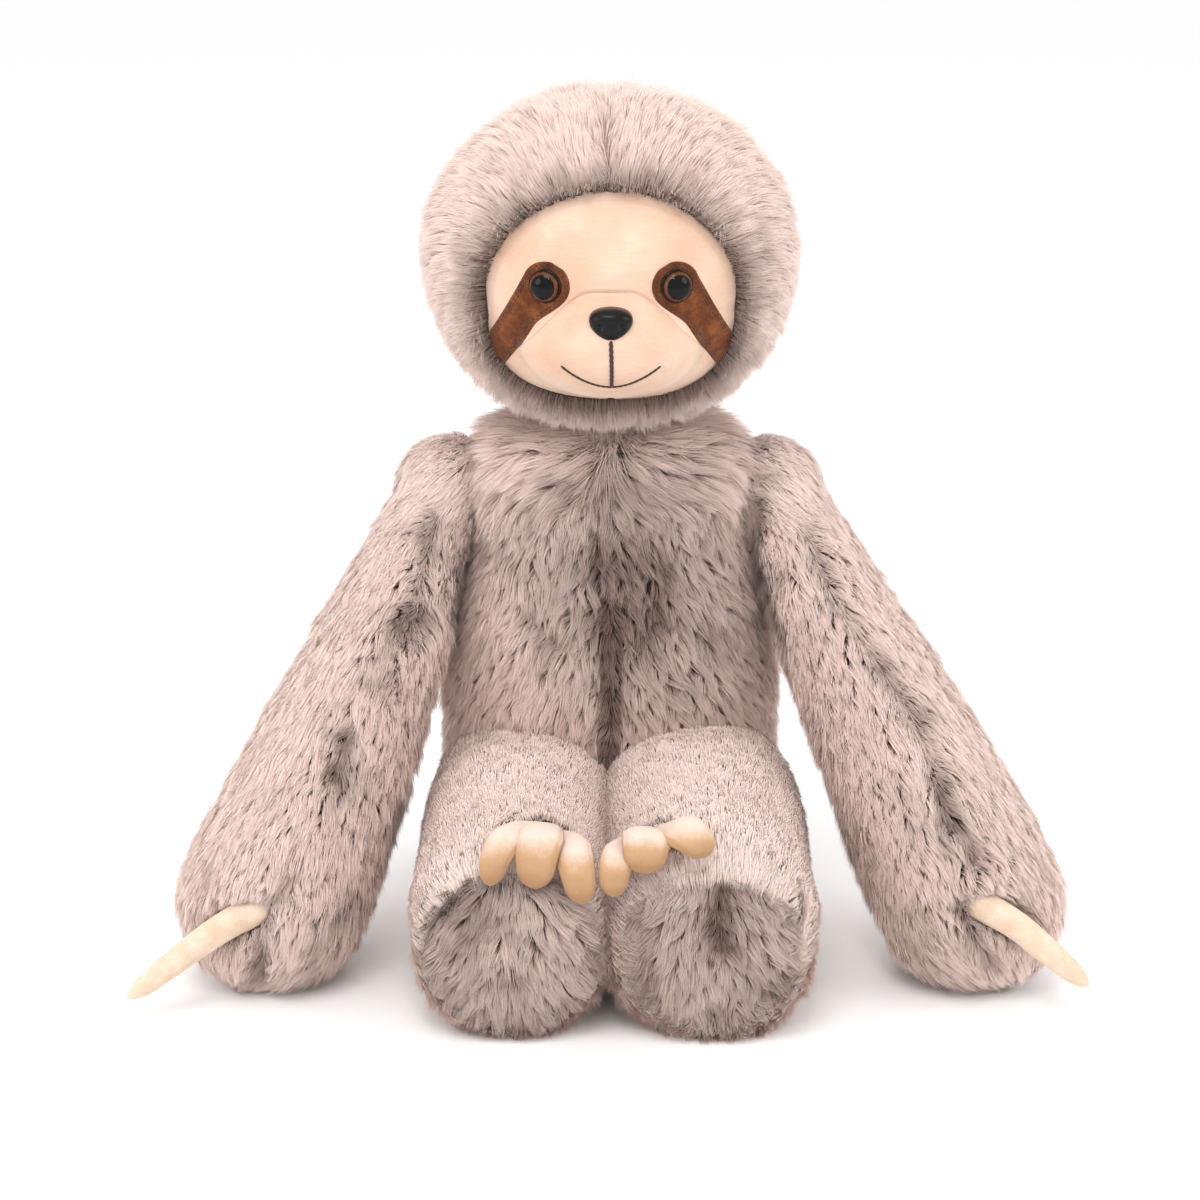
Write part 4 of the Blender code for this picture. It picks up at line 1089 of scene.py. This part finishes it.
# %% [markdown]
# ## Eyes, nose and mouth
#
# Safety eyes and nose are moulded in hard plastic with a stem through the cloth, held by a washer
# behind. A real eye is a clear dome over a black pupil and a thin brown ring. The colours fill the
# dome when it is seen from outside, so it is turned here as rings about its stem, with a polished
# plastic for each zone, which gives the sharp highlights. The nose is one black moulding: a
# rounded triangle with a raised bridge and two nostril dimples. The mouth is thick embroidery
# thread, laid as twisted cord on the cloth.

# %% Moulded plastics
def moulded(name, colour, speckle, roughness, shine):
    """Moulded ABS: hard and even, with a faint mottling and a polished or a satin skin."""
    material, tree, shader = new_material(name, Roughness=roughness, IOR=1.54, Specular_IOR_Level=shine)
    flow_marks = surface_noise(tree, 2 * mm)
    finish_surface(tree, shader, flow_marks, [(0.3, colour), (0.7, speckle)], flow_marks, 0.06, 0.1 * mm)
    return material


pupil_black = moulded("black_pupil_plastic", "#020101", "#050303", 0.05, 0.20)
iris_brown = moulded("brown_iris_plastic", "#4E2C15", "#6E4122", 0.08, 0.20)
rim_brown = moulded("dark_rim_plastic", "#160A05", "#22120B", 0.15, 0.20)
nose_black = moulded("black_nose_plastic", "#060505", "#0E0B0B", 0.30, 0.22)
washer_white = moulded("natural_washer_plastic", "#DAD6CC", "#E6E2D8", 0.5, 0.5)
eye_radius = 7.5 * mm
eye_height = 5.2 * mm
pupil_share, iris_share = 0.76, 0.93


def eye_mesh(side):
    """Rings about the stem: rim, dome in three zones, and the flat underside."""
    x, z = eye_place[side] * mm
    normal = unit(np.array((x / head_half[0] ** 2, (face_front(x, z) - head_centre[1]) / head_half[1] ** 2,
                            (z - head_centre[2]) / head_half[2] ** 2)))
    base = np.array((x, face_front(x, z), z)) + normal * 0.9 * mm
    beside = unit(np.cross((0, 0, 1.0), normal))
    above = np.cross(normal, beside)
    # Each ring: its share of the radius, and its height over the cloth in mm
    rim = [(1.02, -1.6), (1.06, 0.0), (1.07, 0.35), (1.03, 0.75), (0.985, 0.70)]
    dome = [(0.97 * math.cos(a), 0.75 + (eye_height / mm - 0.75) * math.sin(a))
            for a in np.linspace(0.08, 1.50, 26)]
    angle = full_turn(64)
    ring = beside * np.cos(angle)[:, None] + above * np.sin(angle)[:, None]
    mesh = ring_mesh(np.array([base + ring * share * eye_radius + normal * height * mm
                               for share, height in rim + dome]))
    places = np.array([face.center for face in mesh.polygons]) - base
    away = np.linalg.norm(places - (places @ normal)[:, None] * normal, axis=1) / eye_radius
    slots = np.where(away < pupil_share, 0, np.where(away < iris_share, 1, 2))
    mesh.polygons.foreach_set("material_index", slots.astype(np.int32))
    return mesh


for side, word in sides:
    link_piece(f"{word}_eye_dome", eye_mesh(side), "head", [pupil_black, iris_brown, rim_brown],
               [f"{word}_eye"])

# %% Nose
nose_place = np.array((0, 312.5)) * mm
nose_half = np.array((9.9, 8.1)) * mm
nose_out = 7.0 * mm


def nose_mesh():
    """Rings from the skirt under the nose up to its middle, with a bridge, nostrils and a cleft."""
    angle = full_turn(96)
    steps = np.linspace(math.pi / 2, 0.03, 40)
    share = np.concatenate([[1.0, 1.0, 1.0], np.sin(steps)])
    height = np.concatenate([[-3.0, -1.0, 0.0], np.cos(steps) ** 0.72 * nose_out / mm])
    x = nose_half[0] * np.cos(angle) * (1 + 0.24 * np.sin(angle)) * (1 - 0.06 * np.sin(angle) ** 2)
    z = nose_half[1] * (np.sin(angle) - 0.10 * np.clip(np.sin(angle), 0, 1) ** 3)
    x, z = share[:, None] * x, share[:, None] * z + 0 * x
    # In mm: a bridge above, a dimple for each nostril and a cleft below the middle
    relief = 0.9 * hump(z - 4.2 * mm, 2.2 * mm) * hump(x, 7 * mm)
    for sign in (-1, 1):
        relief -= 1.3 * hump(x - sign * 4.7 * mm, 1.5 * mm) * hump(z + 0.8 * mm, 1.5 * mm)
    relief -= 0.5 * hump(x, 0.9 * mm) * rise(-z, 1 * mm, 4 * mm)
    front = face_front(np.zeros(1), nose_place[1:2])[0]
    y = front + 1.2 * mm - (height[:, None] + relief * (share[:, None] < 0.97)) * mm
    return ring_mesh(np.stack([x, y, nose_place[1] + z], -1))


link_piece("nose_moulding", nose_mesh(), "head", nose_black, ["nose"])

# %% Mouth
# Each line of stitches is a centre line on the cloth: one straight down from the nose, and one arc.
mouth_z = np.linspace(305.2, 282.2, 40) * mm
philtrum_x = 0.4 * mm * np.sin(np.linspace(0, 2, 40))
philtrum = np.stack([philtrum_x, face_front(0 * mouth_z, mouth_z), mouth_z], -1)
smile_x = np.linspace(-23, 23, 80) * mm
smile_z = (282.0 + 10.6 * (np.abs(smile_x) / (23 * mm)) ** 1.9) * mm
smile = np.stack([smile_x, face_front(smile_x, smile_z) + 0.1 * mm, smile_z], -1)
ply_length = 2.6 * mm
twist = 2 * math.pi / ply_length
for name, path, radius in (("philtrum", philtrum, 0.95 * mm), ("smile", smile, 0.60 * mm)):
    link_piece(f"{name}_thread", thread_mesh([path], radius, 12, twist), "head", dark_thread,
               [f"{name}_stitch"])

# %% Washers behind the face
for node in ("left_eye_washer", "right_eye_washer", "nose_washer"):
    for slot in bpy.data.objects[node].material_slots:
        slot.material = washer_white
    print(node, "is made of natural plastic")

# %% [markdown]
# ## Neck
#
# No gap shows between head and body, because the pile of both meets there. The firm wad that
# carries the head is dressed too, so that nothing bare opens up when the head nods or turns.

# %% Neck
neck_skin = make_skin(neck_centre + ball(30, 0.35) * neck_radius)
link_piece("neck_backing", ring_mesh(neck_skin["points"]), "neck", backing, ["neck_fill"])
neck_roots = sow(neck_skin, 13)
p = neck_roots["points"]
neck_roots = keep(neck_roots, ~(in_head(p, -3 * mm) | in_torso(p, -3 * mm)))
neck_tone = np.full(len(neck_roots["points"]), 0.62)
grow_pile("neck_pile", neck_roots, [], neck_roots["down"], "neck", neck_tone, length=9 * mm)

# %% [markdown]
# ## Inside the cloth
#
# Nothing inside shows, but it is made as it is sewn, because a stranger may open the model. A
# small cotton bag of pellets weights the seat, and a wad of polyester fills the top of each arm.

# %% Pellet bag and wadding
def woven(name, dark, pale, thread):
    """Cotton or wadding: matt, with crossing threads or fibres at their real spacing."""
    material, tree, shader = new_material(name, Roughness=0.95)
    along = surface_noise(tree, thread, 1, stretch=(0.3, 1, 1))
    across = surface_noise(tree, thread, 1, stretch=(1, 1, 0.3))
    both = add_node(tree, "ShaderNodeMath", {"operation": "ADD"}, {0: along, 1: across}).outputs[0]
    finish_surface(tree, shader, both, [(0.8, dark), (1.0, pale)], both, 0.6)
    return material


def stuffed_ball(centre, half, seam=0.0, rows=40):
    """A lumpy ball of stuffing; with a seam it is pinched round its middle, as a bag is."""
    round_ball = ball(rows, 0.04)
    ridge = 1 + seam * hump(round_ball[:, :1, 2:], 0.06)
    points = centre + round_ball * half * (ridge * (1, 1, 0) + (0, 0, 1))
    return points - round_ball * (1 + soft_noise(points, 9 * mm, 17)[..., :1]) * 0.4 * mm


bag_cotton = woven("unbleached_cotton", "#C9BFAB", "#E6DECD", 0.5 * mm)
wadding = woven("polyester_wadding", "#E4E2DE", "#F6F5F2", 1.5 * mm)
bag_points = stuffed_ball(np.array((0, 26, 15.3)) * mm, np.array((39, 16.5, 12.6)) * mm, 0.02)
link_piece("pellet_bag", ring_mesh(bag_points), "torso", bag_cotton, ["seat_pellet_bag"])
for side, word in sides:
    wad = stuffed_ball(shoulder[side], np.full(3, 17.0) * mm)
    link_piece(f"{word}_shoulder_wad", ring_mesh(wad), f"{word}_shoulder", wadding,
               [f"{word}_shoulder_fill"])

# %% [markdown]
# ## Claws
#
# The claws are padded, sewn from cream suede cloth: two halves joined by a seam along both edges.
# The hand claws are long and slightly bent; the foot claws are short, broad petals that arch over
# the top of the foot. Each is lofted along its own centre line, with a ridge where the halves
# meet, rather than cut from a block, because the round bulge between the seams is what makes them
# look stuffed. The foot claws are tan on the fronts that look at the viewer and cream on top: partly
# their tan underside cloth, and partly painted shade on the fronts and painted light on the tops,
# since their cloth is coloured by the way that it faces on the piece, which moves with the leg.

# %% Claw cloth and shape
claw_suede = suede("cream_suede", ("#DDC0A4", "#E5CBB3", "#EDD8C6"), 0.6 * mm)
# Tan underside cloth, with painted light on the tops and painted shade on the fronts
foot_claw_suede = suede("cream_and_tan_suede_painted_shade", ("#AE8561", "#C59D78", "#E9D1C2"), 0.6 * mm,
                        (0.10, 0.42, 0.72), 0.5)
claw_tip_share = 0.62
claw_round_end = 0.14


def claw_mesh(centres, beside, half_width, half_thickness, root_share=1.0):
    """A stuffed claw: two bulging halves with a fine seam ridge along both edges."""
    share = np.linspace(0, 1, len(centres))
    fullness = 1 - (1 - claw_tip_share) * share ** 2
    fullness *= root_share + (1 - root_share) * np.minimum(1, share / 0.45)
    into_end = np.clip((share - 1) / claw_round_end + 1, 0, 0.995)
    size = fullness * np.sqrt(1 - into_end ** 2)
    ahead = unit(np.gradient(centres, axis=0))
    beside = unit(beside - dot(beside, ahead) * ahead)
    above = np.cross(beside, ahead)
    angle = full_turn(32)
    seam = 0.07 * hump(np.sin(angle), 0.16) - 0.05 * hump(np.abs(np.sin(angle)) - 0.34, 0.14)
    wide = beside[:, None] * (half_width * size[:, None] * np.cos(angle) * (1 + seam))[..., None]
    thick = above[:, None] * (half_thickness * size[:, None] * np.sin(angle))[..., None]
    points = centres[:, None] + wide + thick
    lumps = soft_noise(points, 9 * mm, 31)[..., :1] * 0.25 * mm
    return ring_mesh(points + unit(wide + thick) * lumps)


# %% Centre lines of the claws
def hand_claw_line(side, rows=48):
    """From in the hand to the tip on the floor, slightly arched and waved."""
    root = (-150, -136, 48) if side < 0 else (160, -138, 50)
    tip = (-223.5, -170, 12.5) if side < 0 else (220.5, -170, 19)
    share = np.linspace(0, 1, rows)[:, None]
    line = np.array(root) * (1 - share) + np.array(tip) * share
    line[:, 2:] += 6 * np.sin(math.pi * share)
    line[:, :1] += side * 1.5 * np.sin(2 * math.pi * share)
    return line * mm


# Root, arch and tip lie at these shares of the leg's length. Each claw of a foot has how far its
# root, arch and tip lie off the middle of the foot towards the other leg, as shares of the half
# width; its tip's height as a share of the half height; and its arch's rise and its half width in mm.
claw_reaches = (0.79, 1.11, 1.06)
foot_claw_shapes = {
    -1: [(0.36, -0.15, -0.20, 0.60, 13.0, 6.0), (0.40, 0.26, 0.26, 0.57, 17.5, 8.4),
         (0.52, 0.64, 0.74, 0.42, 18.0, 7.0)],
    1: [(0.62, 1.06, 0.98, 0.49, 25.0, 6.2), (0.58, 0.68, 0.68, 0.72, 26.0, 9.0),
        (0.52, 0.36, 0.04, 0.90, 19.0, 7.2)],
}


def foot_claw_line(side, root_share, arch_share, tip_share, tip_height, arch_rise, rows=44):
    """From in the foot's top, over an arch, to the tip in front of the sole."""
    middle_share = (root_share + tip_share) / 2
    heights = (leg_half_height * math.sqrt(1 - root_share ** 2) - 3 * mm,
               leg_half_height * math.sqrt(1 - middle_share ** 2) + arch_rise * mm,
               tip_height * leg_half_height)
    places = []
    for along, across, height in zip(claw_reaches, (root_share, arch_share, tip_share), heights):
        places.append((side * (foot_x - across * foot_half_width), hip[1][1] - along * leg_length,
                       hip[1][2] + height))
    root, arch, tip = np.array(places)
    share = np.linspace(0, 1, rows)[:, None]
    line = (1 - share) ** 2 * root + 2 * share * (1 - share) * arch + share ** 2 * tip
    ahead = (arch - root) * (1 - share) + (tip - arch) * share
    angle = np.radians(15 + 65 * share[:, 0])
    beside = np.cross(ahead, np.stack([0 * angle, -np.sin(angle), np.cos(angle)], -1))
    return line, beside


hand_claw_lines = {}
foot_claw_lines = {-1: [], 1: []}
for side, word in sides:
    line = hand_claw_lines[side] = hand_claw_line(side)
    beside = np.broadcast_to(np.array((0, 0, 1.0)), line.shape)
    link_piece(f"{word}_hand_claw_suede", claw_mesh(line, beside, 7.8 * mm, 6.4 * mm), f"{word}_arm",
               claw_suede, [f"{word}_hand_claw"])
    for number, (*shape, width) in enumerate(foot_claw_shapes[side], 1):
        line, beside = foot_claw_line(side, *shape)
        foot_claw_lines[side].append(line)
        mesh = claw_mesh(line, beside, width * 1.35 * mm, 4.4 * mm, 0.5)
        link_piece(f"{word}_foot_claw_suede_{number}", mesh, f"{word}_leg", foot_claw_suede,
                   [f"{word}_foot_claw_{number}"])

# %% [markdown]
# ## Arms
#
# Long, limp arms hang from the shoulders and widen to mittens on the floor. Their pile lies down
# the arm. On the outer side and over the shoulder it is sleek: it lies flatter and shows mostly
# its pale tips. In the folds and behind it is rougher and darker. Round the claw it is short.

# %% Arm folds and the claw's slit
claw_bare_from = 9  # the claw's first point that stands out of the hand


def near_line(points, line):
    """Distance from points to the nearest of every third place of a line."""
    return np.min([np.linalg.norm(points - place, axis=1) for place in line[::3]], axis=0)


arm_folds = {
    -1: [([(492, 500), (484, 520), (470, 560), (455, 610)], 6.5, 1.1), ([(408, 622), (418, 612)], 8, 1.5),
         ([(355, 730), (346, 752), (338, 775)], 5, 0.9), ([(296, 871), (285, 890), (262, 912)], 5, 0.9),
         ([(250, 909), (262, 935), (266, 970)], 5, 1.1), ([(440, 510), (425, 560), (412, 610)], 5, 0.6)],
    1: [([(752, 500), (756, 530), (762, 560), (770, 630)], 6.5, 1.0), ([(745, 478), (765, 474)], 5, 0.6),
        ([(803, 530), (830, 600), (894, 685)], 5, 0.6), ([(894, 685), (925, 750), (945, 815)], 5, 0.8),
        ([(945, 815), (965, 840), (973, 860)], 5, 0.8), ([(962, 900), (975, 935), (990, 960)], 5, 0.9)],
}


def arm_paths(side, skin):
    """The folds of an arm, and the slit that its claw comes out of."""
    flat = skin["points"].reshape(-1, 3)
    claw_line = hand_claw_lines[side][claw_bare_from:26:4]
    slit = [flat[((flat - place) ** 2).sum(1).argmin()] for place in claw_line]
    return drawn_paths(skin, arm_folds[side]) + [(np.array(slit), 8 * mm, 1.9)]


# %% Arm backings and piles
for side, word in sides:
    skin = make_skin(arm_points(side))
    paths = arm_paths(side, skin)
    skin = press_in(skin, paths, 3.5 * mm)
    link_piece(f"{word}_arm_backing", ring_mesh(skin["points"]), f"{word}_arm", backing,
               [f"{word}_arm_cover", f"{word}_arm_fill"])
    roots = sow(skin, 20 + side)
    claw_gap = near_line(roots["points"], hand_claw_lines[side][claw_bare_from:])
    kept = ~in_torso(roots["points"], -14 * mm) & (claw_gap > 7 * mm)
    roots, claw_gap = keep(roots, kept), claw_gap[kept]
    _, y, z = roots["points"].T
    # Sleek over the shoulder and on the outer side, but not near the claw
    over_shoulder = rise(z, 190 * mm, 18 * mm)
    outwards = side * roots["out"][:, 0]
    sleek = np.clip(1.4 * outwards + 0.25, 0, 1) * np.clip(claw_gap / (40 * mm) - 0.3, 0.3, 1)
    sleek = np.maximum(sleek, over_shoulder)
    length = pile_length * np.clip(claw_gap / (20 * mm), 0.4, 1) * (1 - 0.25 * rise(z, 170 * mm, 40 * mm))
    flow = roots["down"] + 1.6 * over_shoulder[:, None] * np.array((side, -0.2, -0.5))
    tone = 0.97 + 0.06 * outwards
    rear = y > np.interp(z, [39 * mm, 212 * mm], [-112 * mm, -2 * mm])
    parts = {f"{word}_arm_pile_front": ~rear, f"{word}_arm_pile_back": rear}
    dress(parts, roots, paths, flow, f"{word}_arm", tone, length=length, lean=0.95 + 0.22 * sleek,
          clump=0.30 - 0.20 * sleek, ruffle=0.30 - 0.14 * sleek, mottling=0.19 - 0.12 * sleek,
          frost=0.5 * sleek)

# %% [markdown]
# ## Legs and soles
#
# Each leg is a stump that points at the camera. The pile on top of the thigh and down its outer
# side is smoothed flat, so that it shows its pale tips, and there its tone is paler too, as painted
# light from above. The sole is a darker, round panel of the same fur with its seam in a dark ring,
# and its pile is combed downwards, a little apart. Round the roots of the claws the pile is short,
# so that they stand out of it.

# %% Leg backings, piles and soles
sole_half = np.array((37.5, 35.5)) * mm
sole_pile_length = 9.5 * mm
leg_folds = {
    -1: [([(458, 890), (437, 915), (424, 950)], 5, 0.7), ([(518, 812), (500, 830)], 5, 0.4)],
    1: [([(722, 890), (716, 915), (722, 936)], 6, 0.9), ([(795, 880), (800, 920)], 5, 0.5)],
}
for side, word in sides:
    skin = make_skin(leg_points(side))
    paths = drawn_paths(skin, leg_folds[side])
    skin = press_in(skin, paths, 3.0 * mm)
    link_piece(f"{word}_leg_backing", ring_mesh(skin["points"]), f"{word}_leg", backing,
               [f"{word}_leg_cover", f"{word}_leg_fill", f"{word}_sole"])
    roots = sow(skin, 30 + side)
    p = roots["points"]
    claw_gap = near_line(p, np.concatenate(foot_claw_lines[side]))
    kept = ~(in_torso(p, -20 * mm) | in_leg(p, -side, -2 * mm) | (claw_gap < 4 * mm))
    roots, claw_gap = keep(roots, kept), claw_gap[kept]
    x, y, z = roots["points"].T
    # The sole is an oval on the front of the foot, 4 mm lower than the leg's own middle
    in_front = y < -150 * mm
    sole_distance = np.hypot((x - side * foot_x) / sole_half[0], (z - hip[1][2] + 4 * mm) / sole_half[1])
    on_sole = (sole_distance < 1) & in_front
    rim = hump((sole_distance - 1) * sole_half[0], 4 * mm) * in_front
    # The pile is smoothed from a height of 45 mm on, and from 20 mm on the leg's outer side
    outwards = np.clip(side * roots["out"][:, 0], 0, 1)
    smooth = rise(z + 25 * mm * outwards, 45 * mm, 20 * mm)
    # Painted light: where smoothed, the tone is paler, partly for the pale tips and partly as painted light on
    # the top and outer side
    tone = 0.95 + 0.25 * smooth - 0.50 * rim
    length = np.where(claw_gap < 9 * mm, 5 * mm, pile_length) - 3 * mm * smooth
    dress({f"{word}_leg_pile": ~on_sole}, roots, paths, roots["down"], f"{word}_leg", tone, length=length,
          lean=0.95 + 0.35 * smooth, clump=0.12 - 0.10 * smooth, ruffle=0.20 - 0.12 * smooth,
          mottling=0.07 * (1 - smooth) + 0.01, frost=0.85 * smooth)
    spread = (roots["points"] - np.array((side * foot_x, 0, 48 * mm))) / (36 * mm)
    fan = np.stack([0.9 * spread[:, 0], 0 * spread[:, 0], -1 + 0.3 * spread[:, 2]], -1)
    dress({f"{word}_sole_pile": on_sole}, roots, paths, fan, f"{word}_leg", 0.55 - 0.20 * rim,
          length=sole_pile_length, clump=0.25, ruffle=0.45, mottling=0.15)
